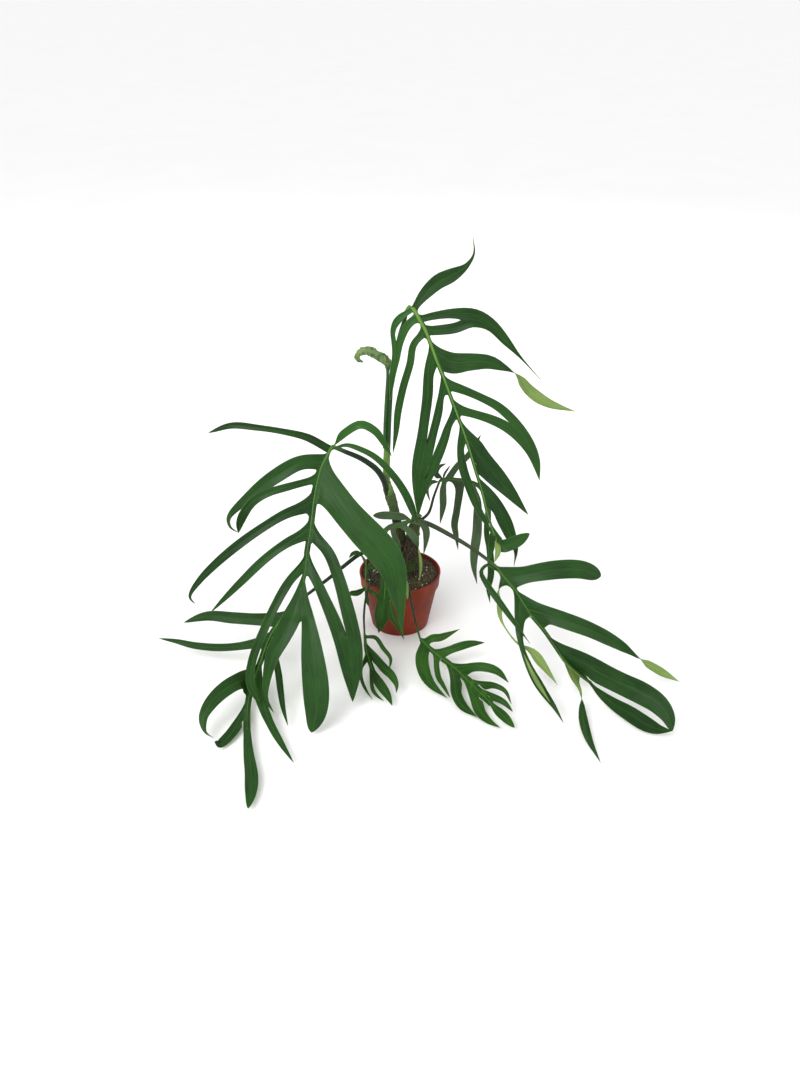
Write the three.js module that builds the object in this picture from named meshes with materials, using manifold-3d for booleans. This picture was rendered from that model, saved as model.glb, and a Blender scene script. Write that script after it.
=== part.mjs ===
import * as THREE from "three";
import { mergeVertices } from "three/addons/utils/BufferGeometryUtils.js";
import Module from "manifold-3d";

const wasm = await Module();
wasm.setup();

// A split-leaf climbing aroid in a nursery pot. Millimetres, +Z up, origin at the middle of the pot's base.
// The viewer stands on the -Y side.

// Nursery pot
const POT_HEIGHT = 112;
const RIM_RADIUS = 75;
const COLLAR_HEIGHT = 25;
const COLLAR_FOOT_RADIUS = 72.6;
const BODY_TOP_RADIUS = 69.6;
const BASE_RADIUS = 53;
const POT_WALL = 1.8;
const LIP_THICKNESS = 2.8;
const LIP_HEIGHT = 4;
const LIP_ROUNDING = 0.8;
const LIP_CHAMFER = 0.6;
const COLLAR_STEP = 1;
const FOOT_ROUNDING = 1.5;
const BASE_THICKNESS = 2.4;
const INNER_FLARE = 1.2;
const POT_SEGMENTS = 40;
const HOLE_RADIUS = 5;
const HOLE_SEGMENTS = 12;
const HOLE_RING_RADIUS = 34;
const HOLE_COUNT = 6;

// Potting mix
const SOIL_LEVEL = 103;
const SOIL_EDGE_DROP = 2;
const SOIL_EDGE_SLOPE = 1.5;
const SOIL_BUMP = 1.6;
const SOIL_RINGS = 4;

// Old trunk
const TRUNK_SIDES = 10;
const TRUNK_STEPS = 10;
const TRUNK_ROUGHNESS = 0.07;
const FORK_SIDES = 9;
const FORK_STEPS = 12;
const FORK_ROUGHNESS = 0.05;
const BARK_RIDGES = 5;

// Gap between pieces that touch, and how fused solids are cleaned
const FIT_GAP = 0.3;
const SCRAP_VOLUME = 20;
const SAME_POINT = 0.001;
const FORM_TOLERANCE = 0.05;
const CLEANING_PASSES = 3;

// Foliage
const BLADE_THICKNESS = 1.2;
const TIP_WIDTH = 1.0;
const CUPPING = 0.16;
const ROOT_BLEND = 0.16;
const ROOT_INSET = 0.01;
const ROOT_DEPTH = 0.5;
const LOBE_ROWS = 8;
const BROAD_LOBE = 13;
const RIB_SIDES = 6;
const RIB_STEPS = 9;
const FURL_SIDES = 7;
const FURL_STEPS = 30;

// Line of sight: each leaf is set out by where it is seen in an 800 x 1065 frame and by its reach,
// the distance in front of the pot's axis.
const EYE_ELEVATION = THREE.MathUtils.degToRad(30);
const EYE_DISTANCE = 1900;
const FOCAL_PIXELS = 1027;
const FRAME_CENTRE = [400, 532.5];
const RIM_CENTRE_ROW = 570;

const FORWARD = new THREE.Vector3(0, Math.cos(EYE_ELEVATION), -Math.sin(EYE_ELEVATION));
const RIGHT = new THREE.Vector3(1, 0, 0);
const UP = new THREE.Vector3(0, Math.sin(EYE_ELEVATION), Math.cos(EYE_ELEVATION));
const EYE = new THREE.Vector3(0, 0, POT_HEIGHT)
  .addScaledVector(FORWARD, -EYE_DISTANCE)
  .addScaledVector(UP, EYE_DISTANCE * (RIM_CENTRE_ROW - FRAME_CENTRE[1]) / FOCAL_PIXELS);

// One lobe of a blade: the stretch of midrib that it grows from (in midrib points), its widths from
// root to tip, the route of its centre line in the frame, and the reach of its tip.
function lobe(root, widths, route, reach, { bow = 0, turn = [0], point = 4 } = {}) {
  return { root, widths, route, reach, bow, turn, point };
}

const LEFT_LEAF = {
  petiole: [[387, 492, 1], [384, 481, 8], [377, 470, 13], [362, 459, 28], [346, 452, 44], [332.4, 446.5, 60]],
  petioleRadii: [5.2, 3.2],
  midrib: [[332.4, 445.5, 60], [328.6, 453, 66], [320.9, 468.5, 80], [314.5, 496.5, 105], [310.7, 527, 133],
    [306.9, 552.6, 157], [304.8, 573, 177], [303, 583, 187]],
  midribRadii: [3.2, 1.9],
  lobes: [
    lobe([0.1, 1.0], [17, 12, 10, 14, 15], [[306, 437], [280, 431], [256, 427.5], [232, 425.5], [208.4, 432.7]],
      62, { bow: 18 }),
    lobe([1.1, 2.1], [26, 24, 24, 22, 16], [[300, 463], [276, 476], [256, 491], [238, 512], [231, 524], [239, 533]],
      128, { bow: 14, turn: [0, 0, 0, 20, 60] }),
    lobe([2.2, 2.6], [13, 12, 13, 13, 10], [[291, 486], [268, 493], [248, 503], [233, 518]], 122, { bow: 10 }),
    lobe([3.0, 3.6], [20, 15, 16, 16, 15], [[288, 513], [262, 528], [228, 553], [200, 580], [190, 597],
      [195, 604]], 170, { bow: 16, turn: [0, 0, 0, 0, 30] }),
    lobe([3.9, 4.5], [20, 15, 15, 14, 12], [[287, 543], [265, 559], [240, 584], [214, 611]], 190, { bow: 14 }),
    lobe([5.2, 5.9], [18, 15, 14, 16, 26], [[289, 582], [275, 606], [263, 632], [253, 658], [250, 680],
      [259, 703]], 288, { bow: 18, point: 6 }),
    lobe([6.5, 6.9], [20, 30, 26, 16, 13], [[294, 610], [282, 635], [272, 657], [267, 678], [266, 698],
      [273.5, 712.5]], 292, { bow: 12, turn: [0, 0, 0, 0, 25] }),
    lobe([7, 7], [12, 22, 34, 42, 42], [[306, 600], [309, 626], [312.5, 656], [316, 690], [316, 712],
      [311.5, 732.5]], 331, { bow: 16, point: 7 }),
    lobe([0.0, 0.3], [8, 10, 11, 12, 9], [[346, 432], [361, 424.5], [375, 431], [385, 445], [391.5, 456]], 46,
      { bow: 26 }),
    lobe([0.1, 0.5], [8, 9, 11, 12, 11], [[346, 444.5], [360, 449], [374, 457], [390, 474], [403, 496],
      [413, 520]], 36, { bow: 26 }),
    lobe([1.5, 3.2], [58, 46, 46, 44, 26], [[336, 499], [349, 515], [364, 534], [378, 552], [391, 573],
      [399, 595], [402.5, 631]], 195, { bow: 22, point: 6 }),
    lobe([3.9, 4.5], [18, 19, 20, 24, 18], [[328, 552], [338, 576], [345, 600], [351, 624], [355, 646],
      [356, 668], [352.7, 701.5]], 268, { bow: 16, point: 6 }),
    lobe([4.8, 5.5], [17, 18, 20, 24, 16], [[316, 580], [325, 600], [334, 621], [342.5, 645], [348, 668],
      [352.7, 701.5]], 268, { bow: 12, point: 6 }),
  ],
};

const TALL_LEAF = {
  petiole: [[386.5, 486, -9], [386.5, 466, -12], [387.5, 440, -12], [389, 410, -12], [391.5, 370, -10],
    [396, 335, -8], [403, 312, -4], [409.5, 305, 0]],
  petioleRadii: [6.4, 3.2],
  midrib: [[409.5, 305, 0], [413.7, 308.6, 2], [420.7, 319.8, 6], [426.3, 331, 10], [430.5, 343.7, 14],
    [436, 359, 19], [443.4, 377, 25], [449.8, 394.5, 31], [456.3, 412, 37], [464.2, 433.6, 45], [469.3, 449, 52],
    [476.9, 474.4, 64], [482, 491, 72], [488.4, 516.5, 86], [494.8, 537, 98]],
  midribRadii: [3.2, 1.9],
  lobes: [
    lobe([0.3, 1.4], [10, 21, 24, 10, 5], [[424, 295], [438, 282], [452, 275], [466, 266], [473.7, 254],
      [473.3, 238]], -40, { bow: -8, turn: [0, 0, 0, 30, 60] }),
    lobe([1.7, 2.2], [8, 13, 21, 16, 5, 3], [[436, 315.5], [455, 313.5], [474, 316], [490, 325], [506, 341],
      [522, 359], [540.5, 379.5]], 26, { bow: -12 }),
    lobe([2.7, 3.3], [8, 12, 14, 12, 4, 3], [[440, 330], [455, 328], [473, 322], [490, 326], [506, 342],
      [522, 359], [540.5, 379.5]], 26, { bow: -10 }),
    lobe([4.0, 5.7], [34, 29, 30, 14, 5, 22, 16], [[452, 363], [470, 362], [488, 362], [503, 367], [516, 374],
      [530, 391], [548, 403], [575, 411.5]], -14, { bow: -16, turn: [0, 0, 0, 20, 110, 180, 190] }),
    lobe([6.0, 6.8], [17, 12, 13, 16, 17, 13], [[462, 389.5], [482, 398], [500, 408], [516, 424], [529, 442],
      [537, 460], [539.5, 480.5]], 58, { bow: -10 }),
    lobe([7.5, 8.2], [15, 12, 13, 14, 14, 8], [[474, 414], [490, 419], [505, 426], [518, 436], [530, 452],
      [539, 479]], 58, { bow: -8 }),
    lobe([8.8, 10.5], [60, 38, 32, 22, 12], [[486, 466], [499, 480], [513, 496], [528, 514.5]], 70,
      { bow: -4, point: 5 }),
    lobe([11.6, 12.6], [34, 26, 24, 18, 9], [[496, 505], [504, 520], [511, 536], [516, 551], [514, 566]], 84,
      { bow: -4, turn: [0, 0, 0, 30, 70] }),
    lobe([13.9, 14.0], [6, 16, 20, 19, 16], [[503, 549], [514, 543], [523, 538], [529.5, 533.5]], 116,
      { bow: 4, point: 7 }),
    lobe([13.7, 14.0], [6, 8, 9, 6], [[498, 547], [498.6, 553], [495, 561]], 104, { turn: [0, 150, 180, 180] }),
    lobe([0.2, 1.0], [9, 10, 11, 12, 10], [[400, 312], [394.5, 323], [393, 338], [394, 354], [392, 372],
      [390, 400]], 10, { bow: 6 }),
    lobe([1.4, 2.2], [9, 10, 12, 12, 10], [[407.5, 323], [401, 336], [397, 350], [395, 366], [392, 385],
      [390, 400]], 10, { bow: 4 }),
    lobe([2.6, 3.5], [11, 12, 13, 14, 11], [[414, 344], [410, 364], [403, 388], [398, 412], [396, 432],
      [393, 453]], 30, { bow: 6 }),
    lobe([4.1, 5.3], [22, 17, 17, 18, 22, 16, 9], [[429, 372], [427.5, 396], [424.5, 424], [420.5, 450],
      [417.5, 470], [416, 490], [417.5, 516]], 60, { bow: 4 }),
    lobe([6.0, 6.9], [11, 11, 12, 16, 18, 14, 9], [[441.5, 395], [438, 414], [433, 434], [428, 455], [423.5, 475],
      [420, 494], [418, 516]], 60, { bow: 4 }),
    lobe([7.8, 8.3], [9, 10, 12, 14, 12, 8], [[449, 425], [444, 440], [437, 458], [429.5, 475], [423, 494],
      [418.5, 516]], 60, { bow: 4 }),
    lobe([8.4, 9.5], [14, 12, 13, 13, 12, 8], [[460.5, 448], [463, 468], [469, 486], [476, 504], [485, 521],
      [494, 537]], 98, { bow: -3 }),
    lobe([12.6, 13.2], [8, 8, 9, 10, 11, 8], [[486.5, 532], [489, 547], [490.5, 562], [487.5, 577], [486, 590],
      [489.5, 603]], 58, { bow: -10, turn: [0, 0, 30, 60, 20, 0] }),
  ],
};

const RIGHT_LEAF = {
  petiole: [[417, 520, 4], [430, 524.5, 20], [450, 535, 42], [470, 547, 62], [484, 557, 78], [495.4, 566, 93]],
  petioleRadii: [4.6, 2.8],
  midrib: [[495.4, 566, 93], [504, 577, 104], [515, 590, 118], [522.5, 602, 130], [530.3, 614, 141],
    [543.5, 630, 158], [554, 645, 175], [565, 661, 192], [579.4, 674.5, 207], [591, 683, 217]],
  midribRadii: [2.8, 1.9],
  lobes: [
    lobe([0.1, 2.0], [40, 30, 32, 33, 33, 31], [[519, 576], [540, 572], [560, 569.5], [580, 569], [601, 577]],
      88, { bow: 12, point: 9 }),
    lobe([2.2, 4.9], [52, 30, 27, 25, 20, 6, 13, 9], [[545, 614], [566, 621], [588, 629], [608, 638.5],
      [626, 649], [642, 660], [658, 669], [676, 680.5]], 205, { bow: 10, turn: [0, 0, 0, 0, 0, 60, 180, 180] }),
    lobe([5.1, 8.2], [60, 38, 37, 36, 38, 36, 30], [[583, 663], [602, 674], [622, 684], [642, 693.5],
      [658, 704], [668, 717], [672, 731.5]], 348, { bow: 10, point: 8 }),
    lobe([8.9, 9.0], [6, 13, 20, 21, 18, 10], [[601, 694], [614, 704], [630, 713.5], [648, 724], [660, 728],
      [671.5, 731.5]], 348, { bow: 8, point: 6 }),
    lobe([7.2, 7.6], [15, 14, 9, 4, 13, 15, 9], [[573, 678], [579, 690], [581, 702], [583, 718], [588.5, 738],
      [600.5, 762.5]], 407, { bow: -6, turn: [0, 150, 175, 90, 10, 0, 0] }),
    lobe([2.1, 4.1], [38, 18, 11, 12, 16, 13, 8], [[520, 615], [519.5, 630], [522, 646], [529, 668], [541, 690],
      [554, 708], [563.5, 723]], 312, { bow: 0, turn: [0, 0, 40, 30, 10, 0, 0] }),
    lobe([0.9, 1.6], [12, 8, 4, 3, 3, 4, 13, 13, 8], [[499, 590], [497, 603], [500.5, 618], [508, 632],
      [519.5, 645], [532, 650.5], [543, 665], [557.5, 684]], 217, { bow: 6, turn: [0, 40, 60, 60, 80, 130, 180, 180, 180] }),
    lobe([0.1, 0.5], [8, 10, 11, 12, 12, 11, 7], [[487, 565.5], [481.5, 572], [487, 584], [496, 597],
      [507, 612], [518, 627], [530, 643.5]], 190, { bow: 14, turn: [0, 60, 30, 20, 20, 40, 60] }),
  ],
};

const LOW_LEAF = {
  petiole: [[402, 549, 2], [382, 548, 18], [362, 553, 34], [344, 566, 58], [328, 579, 82], [308, 594, 100],
    [289, 609, 112]],
  petioleRadii: [4.4, 2.6],
  midrib: [[289, 609, 112], [277.6, 624, 136], [268.6, 639.4, 160], [261, 660, 194], [252, 685, 234],
    [248.5, 700, 260], [247, 715, 296], [247, 731, 334]],
  midribRadii: [2.6, 1.8],
  lobes: [
    lobe([0.2, 1.2], [26, 21, 21, 20, 16], [[262, 619.5], [235, 618], [208, 616], [184, 622.3]], 96,
      { bow: 10 }),
    lobe([1.6, 2.5], [20, 14, 14, 14, 11], [[244, 645.5], [220, 647.5], [195, 645.5], [175, 641], [159, 638.4]],
      104, { bow: 6 }),
    lobe([3.2, 4.7], [40, 27, 24, 20, 13, 7], [[240, 681], [222, 692], [209, 707], [203, 722], [206, 733],
      [213.5, 738]], 352, { bow: 8, turn: [0, 0, 0, 10, 40, 60] }),
    lobe([5.1, 6.3], [30, 15, 15, 14, 11], [[237, 724], [227, 738.5], [219.5, 745], [214.5, 740]], 368,
      { bow: 4, turn: [0, 0, 10, 30, 60] }),
    lobe([7, 7], [8, 14, 19, 21, 18], [[248.5, 752], [251.5, 777], [250.5, 795], [248, 808.5]], 501,
      { bow: 6, point: 7 }),
    lobe([3.0, 3.9], [17, 13, 13, 13, 10], [[259, 690], [264, 709], [272, 727], [281, 743], [293.5, 762.5]],
      404, { bow: 6 }),
    lobe([1.6, 2.3], [12, 11, 12, 12, 9], [[275, 657], [278.5, 674], [280.5, 690], [283, 707], [287.8, 725.5]],
      320, { bow: 6 }),
  ],
};

const FRONT_LEAF = {
  petiole: [[402, 590, 34], [403, 573, 36], [406.5, 578, 70], [409, 590, 95], [412.5, 608, 104],
    [416.4, 625, 108], [420, 638.5, 113]],
  petioleRadii: [2.6, 1.9],
  midrib: [[420, 638.5, 113], [431, 649.5, 136], [443, 659, 159], [454, 667.6, 181], [464.8, 677.3, 204],
    [474.5, 687, 227], [491.5, 704, 269]],
  midribRadii: [1.9, 1.7],
  lobes: [
    lobe([0.1, 1.0], [20, 23, 22, 16, 8], [[422, 657], [424, 671], [431, 684], [447, 698]], 247, { bow: 8 }),
    lobe([1.2, 1.8], [12, 10, 10, 9, 7], [[436.5, 665], [438.5, 677], [443.5, 686], [450, 697.5]], 246,
      { bow: 6 }),
    lobe([2.4, 3.7], [28, 20, 19, 18, 10], [[456, 682], [456.5, 694], [463, 706], [477, 717]], 297, { bow: 6 }),
    lobe([4.2, 5.4], [36, 22, 20, 14, 8], [[476.5, 701], [480.5, 712], [489, 721], [500, 727.6]], 323,
      { bow: 4 }),
    lobe([6, 6], [6, 14, 15, 11], [[497, 710], [505, 717.5], [514.5, 727.6]], 324, { bow: 2, point: 6 }),
    lobe([0.2, 0.7], [10, 14, 13, 8, 4], [[432, 638.5], [440, 637.5], [449, 634], [460, 629]], 100, { bow: 8 }),
    lobe([1.4, 2.0], [14, 14, 15, 13, 9], [[449, 650.5], [461, 646], [472, 643.5], [484.5, 642.5]], 122,
      { bow: 6 }),
    lobe([2.7, 4.0], [26, 18, 17, 15, 9], [[470, 667.5], [484, 667], [497, 671], [508.5, 682.5]], 212,
      { bow: 6 }),
    lobe([4.2, 5.0], [18, 14, 11, 9, 6], [[482, 686], [494, 685.5], [505, 691], [511.5, 704]], 266, { bow: 5 }),
    lobe([5.1, 5.6], [16, 13, 12, 9], [[492, 696.5], [504, 702.5], [512.7, 711.5]], 284, { bow: 4 }),
  ],
};

const HANGING_LEAF = {
  petiole: [[388, 592, 14], [382, 574, 46], [373, 577, 80], [367, 593, 102], [364, 614, 112], [364.5, 634, 121]],
  petioleRadii: [2.4, 1.8],
  midrib: [[364.5, 634, 121], [366, 648, 141], [369.5, 661, 163], [373.5, 672, 184]],
  midribRadii: [1.8, 1.6],
  lobes: [
    lobe([0.4, 1.9], [18, 14, 13, 14, 13, 9], [[376, 659], [384, 668], [392, 676], [396.5, 685],
      [396.4, 693]], 238, { bow: 4 }),
    lobe([3, 3], [6, 13, 14, 13, 9], [[378, 681], [383.5, 689], [388.5, 697], [392.2, 705.5]], 268,
      { bow: 4 }),
    lobe([2.2, 2.9], [8, 7, 7, 7, 5], [[371.5, 681], [373, 690], [377.5, 696], [383.8, 701]], 255, { bow: 4 }),
    lobe([1.4, 2.0], [7, 6, 6, 6, 4], [[361.5, 668], [361.5, 679], [366, 690], [372.6, 699.5]], 252,
      { bow: 4 }),
    lobe([0.0, 0.4], [5, 7, 8, 8, 5], [[376, 638], [383, 648], [390.5, 658.5], [389, 671]], 176, { bow: 8 }),
  ],
};

const BACK_LEAF = {
  petiole: [[420, 521, -5], [428.5, 513, -12], [434, 496, -18], [440, 480, -23]],
  petioleRadii: [2.8, 2.0],
  midrib: [[440, 480, -23], [452, 479.5, -26], [464.5, 481, -28], [474, 483.5, -28], [482, 487.6, -25]],
  midribRadii: [2.0, 1.7],
  lobes: [
    lobe([0.0, 0.3], [8, 10, 9, 7], [[436, 473], [439, 467], [446, 463.5]], -14, { bow: 6 }),
    lobe([0.1, 0.4], [4, 4, 4, 3], [[444.5, 474], [450.5, 465]], -30),
    lobe([0.3, 1.0], [12, 11, 11, 9], [[457, 466.5], [468.5, 455], [480.8, 435]], -46, { bow: -4 }),
    lobe([0.0, 0.6], [10, 12, 13, 10, 6], [[443, 492], [443, 505], [440, 524]], -6, { bow: 4 }),
    lobe([0.0, 0.2], [5, 7, 6, 5], [[431, 483], [427.3, 489], [430, 501.5]], 0, { bow: 6 }),
    lobe([1.3, 2.1], [15, 14, 13, 14, 12, 7], [[458.5, 499], [456.5, 512], [454.5, 525], [456.5, 537],
      [458, 550]], -4, { bow: 2 }),
    lobe([2.6, 3.2], [13, 12, 13, 14, 13, 8], [[476.5, 500], [475, 515], [472, 532], [470.5, 550], [473, 565],
      [477.5, 582]], 14, { bow: -4 }),
    lobe([3.6, 4.0], [7, 8, 8, 5], [[485.5, 496], [488.5, 507], [491, 520]], -2),
  ],
};

const CROWN_LEAF = {
  petiole: [[413.5, 524, 4], [411, 520.5, 14]],
  petioleRadii: [3, 2.4],
  midrib: [[411, 520.5, 14], [400, 524.5, 26], [390, 527, 33], [382, 533, 40]],
  midribRadii: [2.4, 1.7],
  lobes: [
    lobe([0, 0.2], [6, 13, 14, 15, 14], [[402, 517], [390, 515.5], [373, 515.5]], 20, { bow: 2, point: 8 }),
    lobe([0.8, 1.2], [7, 11, 11, 10, 7, 5, 4], [[409.5, 531.5], [416, 541], [419.5, 553], [420.8, 566],
      [419, 583]], 44, { bow: 8 }),
    lobe([1.7, 2.1], [6, 9, 10, 8, 5], [[395, 538], [398.5, 547], [401.5, 557]], 42, { bow: 4 }),
    lobe([2.4, 3.0], [8, 12, 12, 8], [[381, 541], [384, 551], [391, 561]], 56),
    lobe([0, 0.2], [5, 9, 10, 8, 5], [[421.5, 523], [426, 530], [426, 540], [423.5, 555]], 30, { bow: 4 }),
  ],
};

const RIM_LEAF = {
  petiole: [[391, 592, 20], [388.5, 573, 42], [384, 571, 64], [381, 576, 84]],
  petioleRadii: [2.4, 1.8],
  midrib: [[381, 576, 84], [379.5, 588, 96], [378, 600, 103]],
  midribRadii: [1.8, 1.7],
  lobes: [
    lobe([1.3, 1.8], [16, 26, 24, 14, 7], [[376, 612], [375.5, 622], [378.7, 634]], 112, { bow: 2 }),
    lobe([0.5, 1.4], [12, 11, 12, 10, 6], [[389, 603], [392, 616], [399, 628], [404, 639.5]], 116, { bow: 6 }),
    lobe([0.0, 0.6], [8, 9, 9, 6], [[390, 580], [395, 590], [397, 603]], 100, { bow: 4 }),
  ],
};

const SIDE_SHOOT = {
  petiole: [[374, 588, 30], [369, 572, 44], [362, 556, 52]],
  petioleRadii: [1.9, 1.6],
  midrib: [[362, 556, 52], [365.5, 561, 58], [366, 570, 64], [365.5, 580, 75], [366, 591, 88]],
  midribRadii: [1.6, 1.5],
  lobes: [
    lobe([1.7, 2.0], [4, 9, 9, 6], [[371, 566.5], [375.5, 563.5], [379.5, 562]], 62, { bow: 4 }),
    lobe([4, 4], [4, 6, 7, 5], [[367, 599], [368.3, 606]], 96, { bow: 2 }),
    lobe([0, 0.2], [3, 7, 7, 4], [[357, 552.5], [353, 553.5], [349, 558]], 50, { bow: 4 }),
    lobe([3.6, 3.9], [4, 10, 10, 7], [[357, 593], [351, 593.5], [344.5, 598]], 104, { bow: 4 }),
    lobe([3.7, 3.9], [3, 7, 8, 4], [[372, 592], [376, 595], [381, 601]], 100, { bow: 2 }),
  ],
};

const NEW_LEAF = {
  route: [[384.2, 448, -3], [384.4, 425, -4], [385.3, 398, -5], [387.4, 374, -4], [386, 360, -2], [377, 351, 2],
    [367, 346.5, 6], [360.5, 347, 8], [356.5, 352, 9], [357.5, 358.5, 10], [361.5, 362, 10]],
  radii: [2.2, 2.4, 2.4, 3.4, 4.8, 5.0, 4.6, 4.0, 3.2, 2.4, 1.4],
};

const STEM = {
  trunk: [[406, 590, 2], [407.5, 574, 0], [409, 556, -2], [412, 538, -1], [416, 520, 0], [417.5, 515, 0]],
  trunkRadii: [15, 16, 15, 13, 11, 8],
  fork: [[407, 556, -3], [402, 541, -6], [397.5, 525, -6], [393, 505, -5], [387.5, 487, -3], [386.5, 483, -3]],
  forkRadii: [9, 9, 8.5, 8.5, 9.5, 8],
};

const LEAF_GREEN = { color: 0x2f6a2c, roughness: 0.42, metalness: 0 };
const YOUNG_GREEN = { color: 0x34782a, roughness: 0.45, metalness: 0 };
const DULL_GREEN = { color: 0x46683f, roughness: 0.6, metalness: 0 };
const PALE_GREEN = { color: 0x86b56a, roughness: 0.5, metalness: 0 };
const TERRACOTTA = { color: 0x8c3d2b, roughness: 0.55, metalness: 0 };
const POTTING_MIX = { color: 0x2a1d14, roughness: 0.98, metalness: 0 };
const OLD_BARK = { color: 0x33271c, roughness: 0.95, metalness: 0 };

// The point seen at a place in the frame, at a given reach in front of the pot's axis
function sight([column, row, reach]) {
  const ray = FORWARD.clone()
    .addScaledVector(RIGHT, (column - FRAME_CENTRE[0]) / FOCAL_PIXELS)
    .addScaledVector(UP, (FRAME_CENTRE[1] - row) / FOCAL_PIXELS);
  return EYE.clone().addScaledVector(ray, (-reach - EYE.y) / ray.y);
}

function sightCurve(places) {
  return new THREE.CatmullRomCurve3(places.map(sight), false, "centripetal");
}

// Value at u (0 to 1) of a list of numbers spread evenly, eased between neighbours
function along(list, u) {
  const place = Math.min(Math.max(u, 0), 1) * (list.length - 1);
  const index = Math.min(Math.floor(place), Math.max(list.length - 2, 0));
  const next = Math.min(index + 1, list.length - 1);
  const blend = THREE.MathUtils.smoothstep(place - index, 0, 1);
  return list[index] + (list[next] - list[index]) * blend;
}

// A lobe's centre line, from the midrib to its tip, with its reach eased from one to the other
function lobeCurve(start, { route, reach, bow }) {
  const startReach = -start.y;
  const steps = [];
  let travelled = 0;
  const from = new THREE.Vector3().subVectors(start, EYE);
  const depth = from.dot(FORWARD);
  let last = [
    FRAME_CENTRE[0] + from.dot(RIGHT) / depth * FOCAL_PIXELS,
    FRAME_CENTRE[1] - from.dot(UP) / depth * FOCAL_PIXELS,
  ];
  for (const place of route) {
    travelled += Math.hypot(place[0] - last[0], place[1] - last[1]);
    steps.push(travelled);
    last = place;
  }
  const points = route.map(([column, row], i) => {
    const u = steps[i] / travelled;
    return sight([column, row, startReach + (reach - startReach) * u + bow * 4 * u * (1 - u)]);
  });
  return new THREE.CatmullRomCurve3([start, ...points], false, "centripetal");
}

// Directions at u on a curve: along it, across it, and the normal that faces the viewer,
// turned about the curve by an angle
function directions(curve, u, turn) {
  const nudge = 0.01;
  const centre = curve.getPointAt(u);
  const before = curve.getPointAt(Math.max(u - nudge, 0));
  const tangent = curve.getPointAt(Math.min(u + nudge, 1)).sub(before).normalize();
  const toEye = EYE.clone().sub(centre).normalize();
  const across = toEye.cross(tangent).normalize();
  const normal = new THREE.Vector3().crossVectors(tangent, across);
  const angle = THREE.MathUtils.degToRad(turn);
  return {
    centre,
    across: across.clone().multiplyScalar(Math.cos(angle)).addScaledVector(normal, Math.sin(angle)),
    normal: normal.clone().multiplyScalar(Math.cos(angle)).addScaledVector(across, -Math.sin(angle)),
  };
}

// Rows of points over a lobe's middle surface, and the direction it faces at each row
function lobeSurface(midrib, shape) {
  const last = midrib.points.length - 1;
  const [rootStart, rootEnd] = shape.root;
  const start = midrib.getPoint((rootStart + rootEnd) / 2 / last);
  const curve = lobeCurve(start, shape);
  const rootLine = midrib.getPoint(rootStart / last).sub(midrib.getPoint(rootEnd / last));
  const outward = curve.getTangentAt(0);
  const sense = directions(curve, ROOT_BLEND, 0).across.dot(rootLine) < 0 ? -1 : 1;
  const columns = Math.max(...shape.widths) > BROAD_LOBE ? 2 : 1;
  const rows = [];
  for (let i = 0; i < LOBE_ROWS; i += 1) {
    const u = i / (LOBE_ROWS - 1);
    const { centre, across, normal } = directions(curve, u, along(shape.turn, u));
    const closing = Math.pow(Math.max(1 - Math.pow(u, shape.point), 0), 0.7);
    const half = Math.max(along(shape.widths, u) * closing, TIP_WIDTH) / 2;
    const blend = THREE.MathUtils.smoothstep(u, 0, ROOT_BLEND);
    const points = [];
    for (let j = 0; j <= columns; j += 1) {
      const side = 2 * j / columns - 1;
      const place = centre.clone().addScaledVector(across, side * half)
        .addScaledVector(normal, CUPPING * half * (side * side - 0.5));
      const rootShare = THREE.MathUtils.lerp(rootEnd, rootStart, (side * sense + 1) / 2) / last;
      const rootPoint = midrib.getPoint(THREE.MathUtils.clamp(rootShare, ROOT_INSET, 1 - ROOT_INSET))
        .addScaledVector(across, side * TIP_WIDTH / 2)
        .addScaledVector(outward, -ROOT_DEPTH);
      points.push(rootPoint.lerp(place, blend));
    }
    rows.push({ points, normal });
  }
  return rows;
}

// A thin closed solid over rows of points, split into triangles alike on both faces
function thinSolid(rows, thickness) {
  const width = rows[0].points.length;
  const count = rows.length * width;
  const positions = [];
  for (const face of [0.5, -0.5]) {
    for (const { points, normal } of rows) {
      for (const point of points) {
        positions.push(...point.clone().addScaledVector(normal, face * thickness).toArray());
      }
    }
  }
  const triangles = [];
  const quad = (a, b, c, d) => triangles.push(a, b, c, a, c, d);
  for (let i = 0; i < rows.length - 1; i += 1) {
    for (let j = 0; j < width - 1; j += 1) {
      const a = i * width + j;
      quad(a, a + width, a + width + 1, a + 1);
      quad(count + a + 1, count + a + width + 1, count + a + width, count + a);
    }
    const left = i * width;
    const right = left + width - 1;
    quad(left, count + left, count + left + width, left + width);
    quad(right + width, count + right + width, count + right, right);
  }
  const end = (rows.length - 1) * width;
  for (let j = 0; j < width - 1; j += 1) {
    quad(j + 1, count + j + 1, count + j, j);
    quad(end + j, count + end + j, count + end + j + 1, end + j + 1);
  }
  return toSolid(positions, triangles);
}

// Stations along a curve for a tube, with radii spread evenly along it
function stations(curve, radii, steps) {
  const list = [];
  for (let i = 0; i <= steps; i += 1) {
    const u = i / steps;
    list.push({ centre: curve.getPointAt(u), tangent: curve.getTangentAt(u), radius: along(radii, u) });
  }
  return list;
}

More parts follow.
